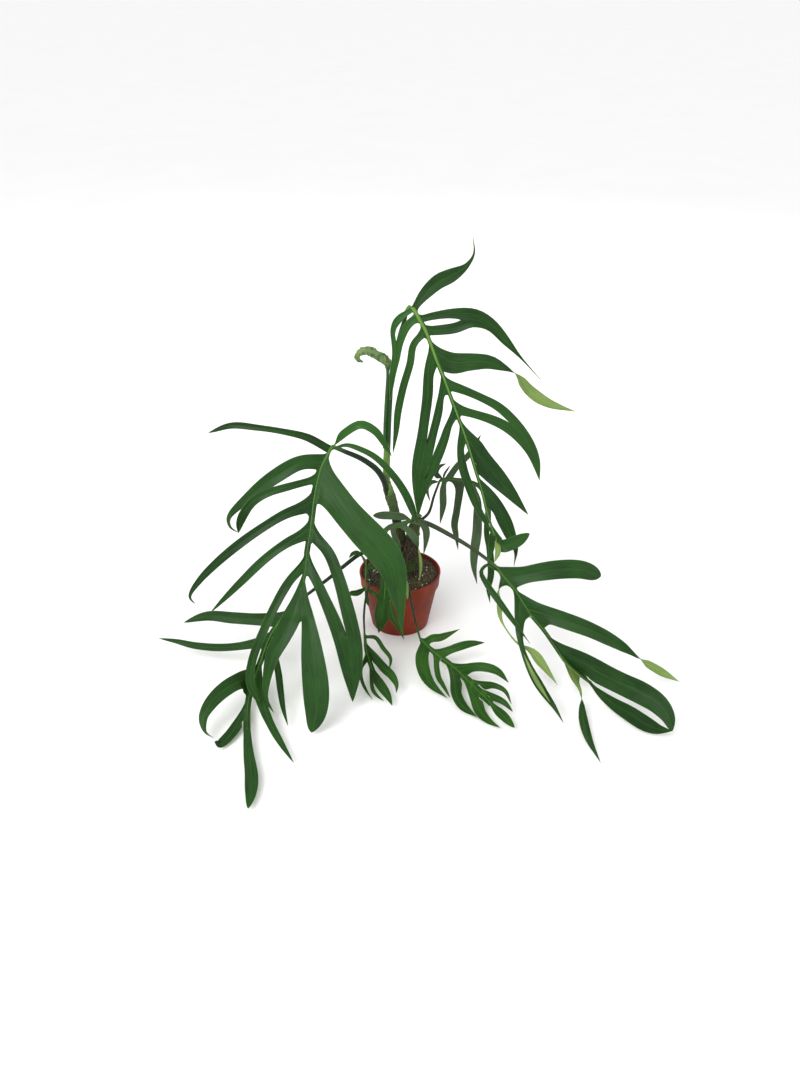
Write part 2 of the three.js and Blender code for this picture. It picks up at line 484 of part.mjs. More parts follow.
// A closed round tube through its stations
function tubeSolid(list, { sides = RIB_SIDES, grow = 0, rough = 0 } = {}) {
  const positions = [];
  const triangles = [];
  const across = new THREE.Vector3(1, 0, 0);
  list.forEach(({ centre, tangent, radius }, i) => {
    across.addScaledVector(tangent, -tangent.dot(across)).normalize();
    const normal = new THREE.Vector3().crossVectors(tangent, across);
    for (let k = 0; k < sides; k += 1) {
      const angle = 2 * Math.PI * k / sides;
      const reach = radius * (1 + rough * Math.sin(BARK_RIDGES * angle + i)) + grow;
      const place = centre.clone().addScaledVector(across, reach * Math.cos(angle))
        .addScaledVector(normal, reach * Math.sin(angle));
      positions.push(...place.toArray());
    }
  });
  for (let i = 0; i < list.length - 1; i += 1) {
    for (let k = 0; k < sides; k += 1) {
      const a = i * sides + k;
      const b = i * sides + (k + 1) % sides;
      triangles.push(a, b, b + sides, a, b + sides, a + sides);
    }
  }
  const top = (list.length - 1) * sides;
  for (let k = 1; k < sides - 1; k += 1) {
    triangles.push(0, k + 1, k, top, top + k, top + k + 1);
  }
  return toSolid(positions, triangles);
}

function toSolid(positions, triangles) {
  const mesh = new wasm.Mesh({
    numProp: 3,
    vertProperties: new Float32Array(positions),
    triVerts: new Uint32Array(triangles),
  });
  const solid = new wasm.Manifold(mesh);
  return solid.volume() < 0 ? toSolid(positions, triangles.slice().reverse()) : solid;
}

function geometrySolid(geometry) {
  geometry.deleteAttribute("normal");
  geometry.deleteAttribute("uv");
  const merged = mergeVertices(geometry, SAME_POINT);
  return toSolid(Array.from(merged.attributes.position.array), Array.from(merged.index.array));
}

function solidGeometry(solid) {
  const { vertProperties, triVerts } = solid.getMesh();
  const geometry = new THREE.BufferGeometry();
  geometry.setAttribute("position", new THREE.BufferAttribute(new Float32Array(vertProperties), 3));
  geometry.setIndex(new THREE.BufferAttribute(new Uint32Array(triVerts), 1));
  return geometry;
}

// All solids in one
function join(solids) {
  return withoutScraps(solids.reduce((sum, solid) => sum.add(solid)));
}

// A solid with any hollow that joining sealed filled, and any loose scrap dropped
function withoutScraps(solid) {
  const shells = solid.decompose().filter((shell) => shell.volume() > SCRAP_VOLUME);
  return shells.reduce((sum, shell) => sum.add(shell));
}

// A solid as a named mesh, with points nearer than SAME_POINT made one. Merging points can part
// a small shell from the rest, so each pass drops what the one before it left.
function namedMesh(name, solid, finish) {
  let clean = solid;
  for (let pass = 0; pass < CLEANING_PASSES; pass += 1) {
    clean = withoutScraps(geometrySolid(solidGeometry(clean.simplify(FORM_TOLERANCE))));
  }
  const geometry = solidGeometry(clean);
  geometry.computeVertexNormals();
  const mesh = new THREE.Mesh(geometry, new THREE.MeshStandardMaterial(finish));
  mesh.name = name;
  return mesh;
}

function petioleStations(leaf) {
  return stations(sightCurve(leaf.petiole), leaf.petioleRadii, RIB_STEPS);
}

function petioleRoom(leaf) {
  return tubeSolid(petioleStations(leaf), { grow: FIT_GAP });
}

// A whole leaf: petiole and midrib in one tube, and the lobes that grow from the midrib
function leafSolid(leaf) {
  const midrib = sightCurve(leaf.midrib);
  const rib = [...petioleStations(leaf), ...stations(midrib, leaf.midribRadii, RIB_STEPS).slice(1)];
  const blades = leaf.lobes.map((shape) => thinSolid(lobeSurface(midrib, shape), BLADE_THICKNESS));
  return join([tubeSolid(rib), ...blades]);
}

function lathe(profile) {
  const points = profile.map(([radius, height]) => new THREE.Vector2(radius, height));
  return geometrySolid(new THREE.LatheGeometry(points, POT_SEGMENTS).rotateX(Math.PI / 2));
}

function innerRadius(height) {
  const share = (height - BASE_THICKNESS) / (POT_HEIGHT - BASE_THICKNESS);
  return THREE.MathUtils.lerp(BASE_RADIUS, BODY_TOP_RADIUS + INNER_FLARE, share) - POT_WALL;
}

function pot() {
  const collarFoot = POT_HEIGHT - COLLAR_HEIGHT;
  const wall = lathe([
    [0, 0],
    [BASE_RADIUS - FOOT_ROUNDING, 0],
    [BASE_RADIUS, FOOT_ROUNDING],
    [BODY_TOP_RADIUS, collarFoot - COLLAR_STEP],
    [COLLAR_FOOT_RADIUS, collarFoot],
    [RIM_RADIUS - LIP_ROUNDING, POT_HEIGHT - LIP_HEIGHT],
    [RIM_RADIUS, POT_HEIGHT - LIP_HEIGHT + LIP_ROUNDING],
    [RIM_RADIUS, POT_HEIGHT - LIP_ROUNDING],
    [RIM_RADIUS - LIP_ROUNDING, POT_HEIGHT],
    [RIM_RADIUS - LIP_THICKNESS, POT_HEIGHT],
    [RIM_RADIUS - LIP_THICKNESS - LIP_CHAMFER, POT_HEIGHT - LIP_ROUNDING],
    [innerRadius(collarFoot) + LIP_CHAMFER, collarFoot],
    [innerRadius(BASE_THICKNESS), BASE_THICKNESS],
    [0, BASE_THICKNESS],
  ]);
  let solid = wall;
  for (let i = 0; i < HOLE_COUNT; i += 1) {
    const angle = 2 * Math.PI * (i + 0.5) / HOLE_COUNT;
    const drill = new THREE.CylinderGeometry(HOLE_RADIUS, HOLE_RADIUS, 4 * BASE_THICKNESS, HOLE_SEGMENTS)
      .rotateX(Math.PI / 2)
      .translate(HOLE_RING_RADIUS * Math.cos(angle), HOLE_RING_RADIUS * Math.sin(angle), 0);
    solid = solid.subtract(geometrySolid(drill));
  }
  return solid;
}

// The potting mix: it fills the pot, and its top is uneven
function soil() {
  const collarFoot = POT_HEIGHT - COLLAR_HEIGHT;
  const foot = BASE_THICKNESS + FIT_GAP;
  const edge = innerRadius(collarFoot) - FIT_GAP;
  const profile = [
    [0, foot],
    [innerRadius(foot) - FIT_GAP, foot],
    [edge, collarFoot],
    [edge + INNER_FLARE, SOIL_LEVEL - SOIL_EDGE_DROP],
  ];
  for (let i = SOIL_RINGS; i >= 0; i -= 1) {
    profile.push([i / SOIL_RINGS * (edge - SOIL_EDGE_SLOPE), SOIL_LEVEL]);
  }
  const points = profile.map(([radius, height]) => new THREE.Vector2(radius, height));
  const geometry = new THREE.LatheGeometry(points, POT_SEGMENTS).rotateX(Math.PI / 2);
  const places = geometry.attributes.position;
  for (let i = 0; i < places.count; i += 1) {
    if (places.getZ(i) > SOIL_LEVEL - SOIL_EDGE_DROP / 2) {
      const x = places.getX(i);
      const y = places.getY(i);
      places.setZ(i, SOIL_LEVEL + SOIL_BUMP * Math.sin(0.13 * x + 1) * Math.cos(0.11 * y + 0.05 * x));
    }
  }
  return geometrySolid(geometry);
}

// The old trunk with its fork, which carries the large leaves
function stem(grow = 0) {
  const trunk = stations(sightCurve(STEM.trunk), STEM.trunkRadii, TRUNK_STEPS);
  const fork = stations(sightCurve(STEM.fork), STEM.forkRadii, FORK_STEPS);
  return tubeSolid(trunk, { sides: TRUNK_SIDES, grow, rough: TRUNK_ROUGHNESS })
    .add(tubeSolid(fork, { sides: FORK_SIDES, grow, rough: FORK_ROUGHNESS }));
}

const group = new THREE.Group();
const stemRoom = stem(FIT_GAP);
const standing = [FRONT_LEAF, HANGING_LEAF, RIM_LEAF, SIDE_SHOOT];
const soilRoom = join([stemRoom, ...standing.map(petioleRoom)]);

const leaves = [
  ["leaf_left", LEFT_LEAF, LEAF_GREEN],
  ["leaf_tall", TALL_LEAF, LEAF_GREEN],
  ["leaf_right", RIGHT_LEAF, LEAF_GREEN],
  ["leaf_low", LOW_LEAF, LEAF_GREEN],
  ["leaf_front", FRONT_LEAF, YOUNG_GREEN],
  ["leaf_hanging", HANGING_LEAF, YOUNG_GREEN],
  ["leaf_back", BACK_LEAF, DULL_GREEN],
  ["leaf_crown", CROWN_LEAF, DULL_GREEN],
  ["leaf_rim", RIM_LEAF, YOUNG_GREEN],
  ["side_shoot", SIDE_SHOOT, YOUNG_GREEN],
];

group.add(namedMesh("pot", pot(), TERRACOTTA));
group.add(namedMesh("soil", soil().subtract(soilRoom), POTTING_MIX));
group.add(namedMesh("stem", stem(), OLD_BARK));
for (const [name, leaf, finish] of leaves) {
  group.add(namedMesh(name, withoutScraps(leafSolid(leaf).subtract(stemRoom)), finish));
}
const furl = stations(sightCurve(NEW_LEAF.route), NEW_LEAF.radii, FURL_STEPS);
const furled = tubeSolid(furl, { sides: FURL_SIDES });
group.add(namedMesh("new_leaf", furled.subtract(petioleRoom(TALL_LEAF)).subtract(stemRoom), PALE_GREEN));

export default group;
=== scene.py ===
import math

import bmesh
import bpy
import numpy as np
from mathutils import Matrix, Vector, noise


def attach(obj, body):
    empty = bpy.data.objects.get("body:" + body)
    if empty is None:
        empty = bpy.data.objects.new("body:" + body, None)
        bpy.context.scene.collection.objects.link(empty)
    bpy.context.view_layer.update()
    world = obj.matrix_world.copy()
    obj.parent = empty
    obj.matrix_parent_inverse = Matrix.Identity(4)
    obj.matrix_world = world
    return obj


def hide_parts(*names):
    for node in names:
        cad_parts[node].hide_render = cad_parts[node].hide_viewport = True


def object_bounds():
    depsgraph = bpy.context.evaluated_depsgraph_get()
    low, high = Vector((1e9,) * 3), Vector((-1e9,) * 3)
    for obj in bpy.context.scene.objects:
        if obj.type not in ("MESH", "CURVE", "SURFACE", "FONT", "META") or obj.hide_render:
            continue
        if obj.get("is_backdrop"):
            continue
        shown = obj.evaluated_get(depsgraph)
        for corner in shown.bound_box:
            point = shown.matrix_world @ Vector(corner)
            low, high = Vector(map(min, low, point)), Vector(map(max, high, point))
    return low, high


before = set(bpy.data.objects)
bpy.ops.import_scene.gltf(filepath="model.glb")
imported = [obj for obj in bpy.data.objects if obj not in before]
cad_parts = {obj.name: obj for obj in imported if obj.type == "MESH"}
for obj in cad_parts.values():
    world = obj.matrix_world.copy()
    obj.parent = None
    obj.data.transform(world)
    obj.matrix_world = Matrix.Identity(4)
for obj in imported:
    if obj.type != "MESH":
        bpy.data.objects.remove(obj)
cad_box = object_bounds()
bpy.context.scene.view_settings.view_transform = "Standard"

# Millimetres are used for the layout, and each mesh is written in metres.
MM = 0.001

# The photograph's frame and where it looks from: the camera looks at the pot from in front.
FRAME_WIDTH = 800
FRAME_HEIGHT = 1065
FRAME_CENTRE = (FRAME_WIDTH / 2, FRAME_HEIGHT / 2)
FOCAL_PIXELS = 1027
SENSOR_LONG_SIDE = 36
CLIP_END = 200
EYE_ELEVATION = math.radians(30)
EYE_DISTANCE = 1900
RIM_CENTRE_ROW = 570

# Nursery pot
POT_HEIGHT = 112
RIM_RADIUS = 75
COLLAR_HEIGHT = 25
COLLAR_FOOT_RADIUS = 72.6
BODY_TOP_RADIUS = 69.6
BASE_RADIUS = 53
FOOT_CHAMFER = 1.5
POT_WALL = 1.8
LIP_THICKNESS = 2.8
LIP_HEIGHT = 4
LIP_CHAMFER = 0.8
INNER_STEP = 0.6
INNER_STEP_HEIGHT = 87
BASE_THICKNESS = 2.4
INNER_FLARE = 1.2
CORNER_RADIUS = 0.5
CORNER_SHARE = 0.4
CORNER_STEPS = 3
HOLE_COUNT = 6
HOLE_RING = 34
HOLE_RADIUS = 5
HOLE_SIDES = 32
POT_SIDES = 160

# Potting mix
SOIL_LEVEL = 108
SOIL_RADIUS = 69.4
SOIL_GAP = 0.3
SOIL_STEPS = (3, 20, 40, 60, 80, 96)
SOIL_TOP_BAND = 3
SOIL_EDGE_BAND = 8
SOIL_EDGE_DROP = 2
SOIL_RINGS = 70
SOIL_SIDES = 200
SOIL_SEED = 11
SCATTER_MARGIN = 4
CHIP_COUNT = 620
CHIP_LENGTHS = (1.4, 5.2)
CHIP_TILT = 35
PERLITE_COUNT = 46
PERLITE_RADII = (0.8, 1.9)
PERLITE_TILT = 90
GRAIN_ROUGHNESS = 0.28
MOSS_COUNT = 420
MOSS_LENGTHS = (1.2, 2.6)
LEAVES_IN_TUFT = 6
MOSS_LEAF_WIDTH = 0.22
THREE_WAYS = ((1, 0), (-0.5, 0.87), (-0.5, -0.87))

# Trunk, and the new leaf's stretch that is rolled
TRUNK_SIDES = 48
TRUNK_STEPS = 150
RING_WIDTH = 1.6
RING_HEIGHT = 0.07
TRUNK_MOSS_LENGTHS = (1.0, 2.2)
STRAND_SIDES = 7
STRAND_STEPS = 40
STRAND_KNOTS = 8
STRAND_FOOT = 0.02
STRAND_LOWEST_TOP = 0.35
STRAND_RADII = (0.5, 1.1)
STEM_SEED = 23
SIDEWAYS = (0, 1, 0.3)
NEW_LEAF_STEPS = 200
NEW_LEAF_SIDES = 24
ROLLED_FROM = (0.62, 0.68)

# Foliage: millimetres, or shares of a width or a length
BLADE_THICKNESS = 0.8
RIM_THINNING = 0.55
TIP_WIDTH = 0.6
TIP_TAPER = 0.7
CUPPING = 0.16
CREASE = 0.1
CREASE_WIDTH = 0.12
MARGIN_WAVE = 0.08
WAVE_LENGTHS = (38, 70)
WAVED_WIDTH = 9
WING_LIFT = 0.12
ROOT_INSET = 0.005
BASE_ROWS = (0, 0.35, 0.7)
SLIT_END = 0.6
SHORT_BREAK = 8
SEAM = 0.2
SNUG_REACH = 3
SWEPT_REACH = 14
LEAST_WING = 2
WING_ROWS = 10
WING_STEPS = (0.1, 0.55, 1)
WING_SIDE = 0.9
SNUG_ROUNDING = 0.8
SWEPT_ROUNDING = 1.5
CLASP = 6
NARROWING = 0.2
CORNER_START = 2
LONGEST_CORNER = 0.35
SNUG_SHARE = 0.3
LEAST_SLANT = 0.2
NO_SIZE = 1e-6
LOBE_ROWS = 42
ROW_CROWDING = 0.1
LEAVING = 0.12
LEAVING_NEAR = 0.08
SETTLING = 2.5
LEAST_SETTLING = 10
MOST_SETTLING = 0.6
RIB_SIDES = 16
RIB_STEPS = 60
COLUMN_SIDES = (-1, -0.95, -0.8, -0.6, -0.4, -0.22, -0.08, 0, 0.08, 0.22, 0.4, 0.6, 0.8, 0.95, 1)


def lobe(root, widths, reach, bow, route, turn=(0,), point=4, light=0):
    """One lobe of a blade: the stretch of midrib that it grows from (in midrib points), its widths
    from root to tip, the reach of its tip in front of the pot's axis, how far its middle bows out
    towards the viewer, and the route of its centre line in the frame. turn is its twist in degrees
    from root to tip, point how blunt its tip is, and light how much painted sheen makes it paler."""
    return dict(root=root, widths=widths, reach=reach, route=route, bow=bow, turn=turn, point=point,
                light=light)


def leaf(petiole, petiole_radii, midrib, midrib_radii, *lobes):
    """One leaf: its stalk, its midrib and its lobes. Lobes given together grow into one."""
    return dict(petiole=petiole, petiole_radii=petiole_radii, midrib=midrib,
                midrib_radii=midrib_radii, lobes=lobes)


# Each leaf is set out by where it is seen in the frame, as (column, row, reach) places, with its
# widths and radii in millimetres. The imported solids are laid out in the same way.
# A lobe's light value is painted sheen: it makes that lobe's colour paler where it caught the light.
LEFT_LEAF = leaf(
    ((394, 510, -3), (387, 492, 1), (384, 481, 8), (377, 470, 13), (362, 459, 28), (346, 452, 44),
     (332.4, 446.5, 60)),
    (3.5, 5.3, 5.2, 4.4, 3.4),
    ((332.4, 445.5, 60), (328.6, 453, 66), (320.9, 468.5, 80), (314.5, 496.5, 105), (310.7, 527, 133),
     (306.9, 552.6, 157), (304.8, 573, 177), (303, 583, 187)),
    (3.2, 1.6, 1.4, 1.2, 1.0, 0.8),
    lobe((0.1, 1.0), (17, 12, 10, 14, 15), 62, 18, ((306, 437), (280, 431), (256, 427.5), (232, 425.5),
        (208.4, 432.7))),
    lobe((1.1, 2.1), (26, 24, 25, 23, 18, 17, 10), 112, 14, ((300, 463), (276, 476), (256, 491), (240, 505),
        (229, 518), (230.5, 527), (239, 533)), turn=(0, 0, 0, 0, 20, 40, 40)),
    lobe((2.2, 2.6), (13, 12, 13, 13, 16, 20, 18), 130, 10, ((291, 486), (268, 493), (254, 500.5),
        (245, 511), (240, 522), (238.5, 532.5)), turn=(0, 0, 0, 0, -20, -30, -30), point=9),
    lobe((3.0, 3.6), (20, 15, 16, 16, 15), 170, 16, ((288, 513), (262, 528), (228, 553), (200, 580),
        (190, 597), (195, 604)), turn=(0, 0, 0, 0, 30)),
    lobe((3.9, 4.5), (20, 15, 15, 14, 12), 190, 14, ((287, 543), (265, 559), (239, 584), (211, 612))),
    lobe((5.2, 5.95), (18, 15, 14, 16, 26), 288, 18, ((289, 582), (275, 606), (263, 632), (253, 658),
        (250, 680), (259, 703)), point=6),
    (lobe((6.6, 7.0), (8, 30, 27, 17, 13), 292, 12, ((296, 607), (283, 635), (272, 657), (267, 678),
         (266, 698), (273.5, 712.5)), turn=(0, 0, 0, 0, 25)),
     lobe((7, 7), (7.5, 21, 37, 46, 46), 331, 16, ((305, 600), (309, 626), (312.5, 656), (316, 690),
         (316, 712), (311.5, 732.5)), point=7)),
    lobe((0.0, 0.3), (10, 13, 14, 13, 9), 46, 26, ((346, 432), (361, 424.5), (375, 431), (385, 445),
        (391.5, 456)), light=2.4),
    lobe((0.1, 0.5), (8, 9, 11, 13, 15, 14), 36, 26, ((346, 444.5), (360, 449), (375, 457), (392, 474),
        (406, 495), (417, 522)), point=9, light=1.2),
    lobe((1.5, 3.2), (58, 50, 47, 49, 52, 52, 46, 34, 22, 11, 6), 195, 22, ((336, 499), (349, 515),
        (366.4, 534), (377.5, 545.6), (387.4, 558), (393, 569), (396.3, 582), (398.2, 595), (400, 609),
        (402.6, 634)), point=20, light=1.2),
    (lobe((3.9, 4.5), (18, 19, 23, 26, 18), 268, 16, ((328, 552), (338, 576), (345, 600), (351, 624),
         (355, 646), (356, 668), (352.7, 701.5)), point=6),
     lobe((4.8, 6.1), (17, 18, 23, 26, 16), 268, 12, ((316, 580), (325, 600), (334, 621), (342.5, 645),
         (348, 668), (352.7, 701.5)), point=6)),
)

TALL_LEAF = leaf(
    ((386.5, 486, -9), (386.5, 466, -12), (387.5, 440, -12), (389, 410, -12), (392.3, 370, -10),
     (398, 343, -8), (401, 331, -6), (404.6, 320, -4), (406.8, 310.5, -2), (410, 306.3, 0)),
    (6.4, 3.2),
    ((410, 306.3, 0), (414.3, 309.8, 2), (419.6, 320, 6), (425.7, 331, 10), (430.5, 343.7, 14),
     (436, 359, 19), (443.4, 377, 25), (449.8, 394.5, 31), (456.3, 412, 37), (464.2, 433.6, 45),
     (469.3, 449, 52), (476.9, 474.4, 64), (482, 491, 72), (488.4, 516.5, 86), (494.8, 537, 98)),
    (3.4, 2.5, 1.9, 1.6, 1.4, 1.3, 1.2),
    lobe((0.3, 1.4), (10, 21, 24, 10, 5), -40, -8, ((424, 295), (438, 282), (452, 275), (466, 266),
        (473.7, 254), (473.3, 238)), turn=(0, 0, 0, 30, 60)),
    (lobe((1.7, 2.2), (11, 15, 24, 19, 6, 3), 26, -12, ((436, 315.5), (455, 313.5), (474, 316), (490, 325),
         (506, 341), (522, 359), (540.5, 379.5))),
     lobe((2.7, 3.3), (15, 17, 17, 14, 5, 3), 26, -10, ((440, 330), (455, 328), (473, 322), (490, 326),
         (506, 342), (522, 359), (540.5, 379.5)))),
    lobe((4.0, 5.7), (34, 31, 28, 21, 10, 18, 25, 22, 13), -14, -16, ((452, 363), (470, 362), (488, 362),
        (503, 367), (516, 374), (530, 391), (548, 403), (575, 411.5)),
        turn=(0, 0, 0, 0, 60, 178, 180, 185, 190)),
    (lobe((6.0, 6.8), (17, 13, 15, 18, 18, 13), 58, -10, ((462, 389.5), (482, 398), (500, 408), (516, 424),
         (529, 442), (537, 460), (539.5, 480.5)), light=1.2),
     lobe((7.5, 8.2), (15, 14, 17, 19, 16, 8), 58, -8, ((474, 414), (490, 419), (505, 426), (518, 436),
         (530, 452), (539, 479)))),
    lobe((8.8, 10.5), (60, 38, 32, 22, 12), 70, -4, ((486, 466), (499, 480), (513, 496), (528, 514.5)),
        point=5),
    lobe((11.6, 12.6), (34, 26, 24, 18, 9), 84, -4, ((496, 505), (504, 520), (511, 536), (516, 551),
        (514, 566)), turn=(0, 0, 0, 30, 70)),
    lobe((13.8, 14.0), (8, 17, 21, 21, 17), 116, 4, ((502, 547), (511, 544), (520, 539.5), (529.5, 533.5)),
        point=7),
    lobe((14, 14), (5, 10, 10, 6), 126, 4, ((497.5, 545), (498, 552), (494.6, 562)),
        turn=(0, 150, 180, 180)),
    lobe((13.6, 13.8), (5, 10, 11, 7), 104, 0, ((491.5, 547), (490.5, 554), (489, 560))),
    (lobe((0.2, 1.0), (16, 14, 9, 6.5, 7, 8, 9, 9), 10, 6, ((405, 313), (400, 317.5), (394.9, 324.7),
         (392.9, 331.6), (393.2, 340.2), (394, 354), (392, 372), (390, 400)), light=1),
     lobe((1.4, 2.2), (13, 13, 12, 11, 9, 9, 9), 10, 4, ((411, 322), (405.3, 329), (401.6, 337.4),
         (399, 346), (396.5, 360), (393.5, 376), (390, 400)))),
    lobe((2.6, 3.5), (11, 12, 13, 14, 11), 30, 6, ((414, 344), (410, 364), (403, 388), (398, 412),
        (396, 432), (393, 453)), light=1),
    (lobe((4.1, 5.3), (22, 18, 17, 17, 21, 16, 9), 60, 4, ((429, 372), (427.5, 396), (423.9, 424),
         (419.6, 450), (416.8, 470), (416, 490), (417.5, 516))),
     lobe((6.0, 6.9), (13, 14, 14, 16, 18, 14, 9), 60, 4, ((441.5, 395), (438, 414), (433, 434), (428, 455),
         (423.5, 475), (420, 494), (418, 516))),
     lobe((7.8, 8.3), (10, 14, 17, 16, 12, 8), 60, 4, ((449, 425), (444, 440), (437, 458), (429.5, 475),
         (423, 494), (418.5, 516)))),
    lobe((8.4, 9.5), (16, 15, 15, 15, 13, 9), 98, -3, ((460.5, 448), (463, 468), (469, 486), (476, 504),
        (485, 521), (494, 537))),
    lobe((12.6, 13.2), (8, 10, 12, 14, 15, 9), 58, -10, ((486.5, 532), (489.5, 547), (491, 562), (491, 575),
        (488.5, 589), (490, 603)), turn=(0, 0, 10, 20, 10, 0)),
)

RIGHT_LEAF = leaf(
    ((417, 520, 4), (430, 524.5, 20), (450, 535, 42), (470, 547, 62), (484, 557, 78), (495.4, 566, 93)),
    (4.6, 2.8),
    ((495.4, 566, 93), (504, 577, 104), (515, 590, 118), (522.5, 602, 130), (530.3, 614, 141),
     (543.5, 630, 158), (554, 645, 175), (565, 661, 192), (579.4, 674.5, 207), (591, 683, 217)),
    (2.6, 1.5, 1.2, 1.1, 0.9),
    lobe((0.1, 2.0), (40, 30, 32, 33, 33, 34), 88, 12, ((519, 576), (540, 572), (560, 569.5), (580, 569.5),
        (601, 576)), point=10),
    lobe((2.2, 4.9), (52, 32, 29, 28, 26, 24, 18, 9, 20, 27, 17), 205, 10, ((545, 614), (566, 621),
        (588, 629), (608, 638.5), (626, 649), (642, 660), (658, 670), (679, 681.5)),
        turn=(0, 0, 0, 0, 0, 0, 0, 60, 180, 180, 180)),
    lobe((5.1, 8.6), (60, 40, 37, 36, 38, 36, 30), 348, 10, ((583, 663), (602, 674), (622, 684),
        (642, 693.5), (658, 704), (668, 717), (672, 731.5)), point=8),
    lobe((9, 9), (6, 14, 22, 27, 27, 16), 346, 8, ((601, 694), (614, 704), (630, 714), (646, 724),
        (658, 729), (671.5, 731)), point=6),
    lobe((7.0, 8.0), (26, 15, 4, 9, 15, 16, 14, 10, 7), 407, -6, ((575, 681), (580, 690), (581.5, 697),
        (583, 718), (588.5, 738), (600.5, 762.5)), turn=(180, 180, 150, 20, 0, 0, 0, 0, 0)),
    lobe((2.1, 4.1), (38, 18, 11, 13, 17, 14, 8), 312, 0, ((520, 615), (519.5, 630), (522, 646), (530, 668),
        (542.5, 690), (555, 708), (563.5, 723)), turn=(0, 0, 40, 20, 10, 0, 0)),
    lobe((4.0, 4.1), (1, 1, 1, 3, 8, 10, 6), 290, -6, ((523, 622), (520, 634), (521.5, 646), (526.5, 660),
        (536, 680), (550, 702)), turn=(180,)),
    lobe((0.9, 1.6), (12, 8, 9, 3, 3, 7, 21, 17, 9), 217, 6, ((499, 590), (499.5, 603), (500.5, 618),
        (508, 632), (518.5, 644), (531, 650.5), (543, 665), (557.5, 685)),
        turn=(0, 120, 180, 180, 180, 180, 180, 180, 180)),
    lobe((0.1, 0.5), (8, 10, 11, 12, 12, 11, 7), 190, 14, ((487, 565.5), (481.5, 572), (487, 584),
        (496, 597), (507, 612), (518, 627), (530, 643.5)), turn=(0, 60, 30, 20, 20, 40, 60)),
)

LOW_LEAF = leaf(
    ((402, 549, 2), (382, 548, 18), (362, 553, 34), (344, 566, 58), (328, 579, 82), (308, 594, 100),
     (289, 609, 112)),
    (4.4, 2.6),
    ((289, 609, 112), (277.6, 624, 136), (268.6, 639.4, 160), (261, 660, 194), (252, 685, 234),
     (248.5, 700, 260), (247, 715, 296), (247, 731, 334)),
    (2.4, 1.4, 1.2, 1.0, 0.8),
    lobe((0.2, 1.2), (26, 21, 21, 20, 16), 96, 10, ((262, 619.5), (235, 618), (208, 616), (184, 622.3))),
    lobe((1.6, 2.5), (20, 14, 14, 14, 11), 104, 6, ((244, 645.5), (220, 647.5), (195, 645.5), (175, 641),
        (159, 638.4))),
    lobe((3.2, 4.7), (42, 28, 26, 24, 19, 7), 352, 8, ((240, 681), (222, 691.5), (209.5, 705), (203.5, 718),
        (205.5, 731.5), (213.5, 738)), turn=(0, 0, 0, 0, 25, 60)),
    lobe((5.1, 6.3), (30, 18, 17, 17, 15), 368, 4, ((238, 724), (228, 737), (220, 744), (214.5, 742)),
        turn=(0, 0, 0, 15, 30), point=9),
    lobe((7, 7), (12, 15, 19, 22, 19), 501, 6, ((248.5, 752), (251.5, 777), (250.5, 795), (248, 808.5)),
        point=7),
    lobe((2.7, 4.3), (28, 16, 14, 14, 10), 404, 6, ((259, 690), (264, 709), (272, 727), (281, 743),
        (293.5, 762.5))),
    lobe((1.6, 2.3), (12, 11, 12, 12, 9), 320, 6, ((275, 657), (278.5, 674), (280.5, 690), (283, 707),
        (287.8, 725.5))),
)

FRONT_LEAF = leaf(
    ((402, 590, 34), (403, 573, 36), (406.5, 578, 70), (409, 590, 95), (412.5, 608, 104), (416.4, 625, 108),
     (420, 638.5, 113)),
    (2.6, 1.9),
    ((420, 638.5, 113), (431, 649.5, 136), (443, 659, 159), (454, 667.6, 181), (464.8, 677.3, 204),
     (474.5, 687, 227), (491.5, 704, 269)),
    (1.7, 1.2, 1.0, 0.8),
    (lobe((0.1, 1.0), (20, 23, 22, 16, 8), 247, 8, ((422, 657), (424, 671), (431, 684), (447, 698))),
     lobe((1.2, 1.8), (12, 10, 10, 9, 7), 246, 6, ((436.5, 665), (438.5, 677), (443.5, 686),
         (450, 697.5)))),
    lobe((2.4, 3.7), (28, 20, 19, 18, 10), 297, 6, ((456, 682), (456.5, 694), (463, 706), (477, 717))),
    lobe((4.2, 5.4), (36, 22, 20, 14, 8), 323, 4, ((476.5, 701), (480.5, 712), (489, 721), (500, 727.6))),
    lobe((6, 6), (6, 14, 15, 11), 324, 2, ((497, 710), (505, 717.5), (514.5, 727.6)), point=6),
    lobe((0.2, 0.7), (10, 14, 13, 8, 4), 100, 8, ((432, 638.5), (440, 637.5), (449, 634), (460, 629))),
    lobe((1.4, 2.0), (14, 14, 15, 13, 9), 122, 6, ((449, 650.5), (461, 646), (472, 643.5), (484.5, 642.5))),
    lobe((2.7, 4.0), (26, 18, 17, 15, 9), 212, 6, ((470, 667.5), (484, 667), (497, 671), (508.5, 682.5))),
    lobe((4.2, 5.0), (18, 14, 11, 9, 6), 266, 5, ((482, 686), (494, 685.5), (505, 691), (511.5, 704))),
    lobe((5.1, 5.6), (16, 13, 12, 9), 284, 4, ((492, 696.5), (504, 702.5), (512.7, 711.5))),
)

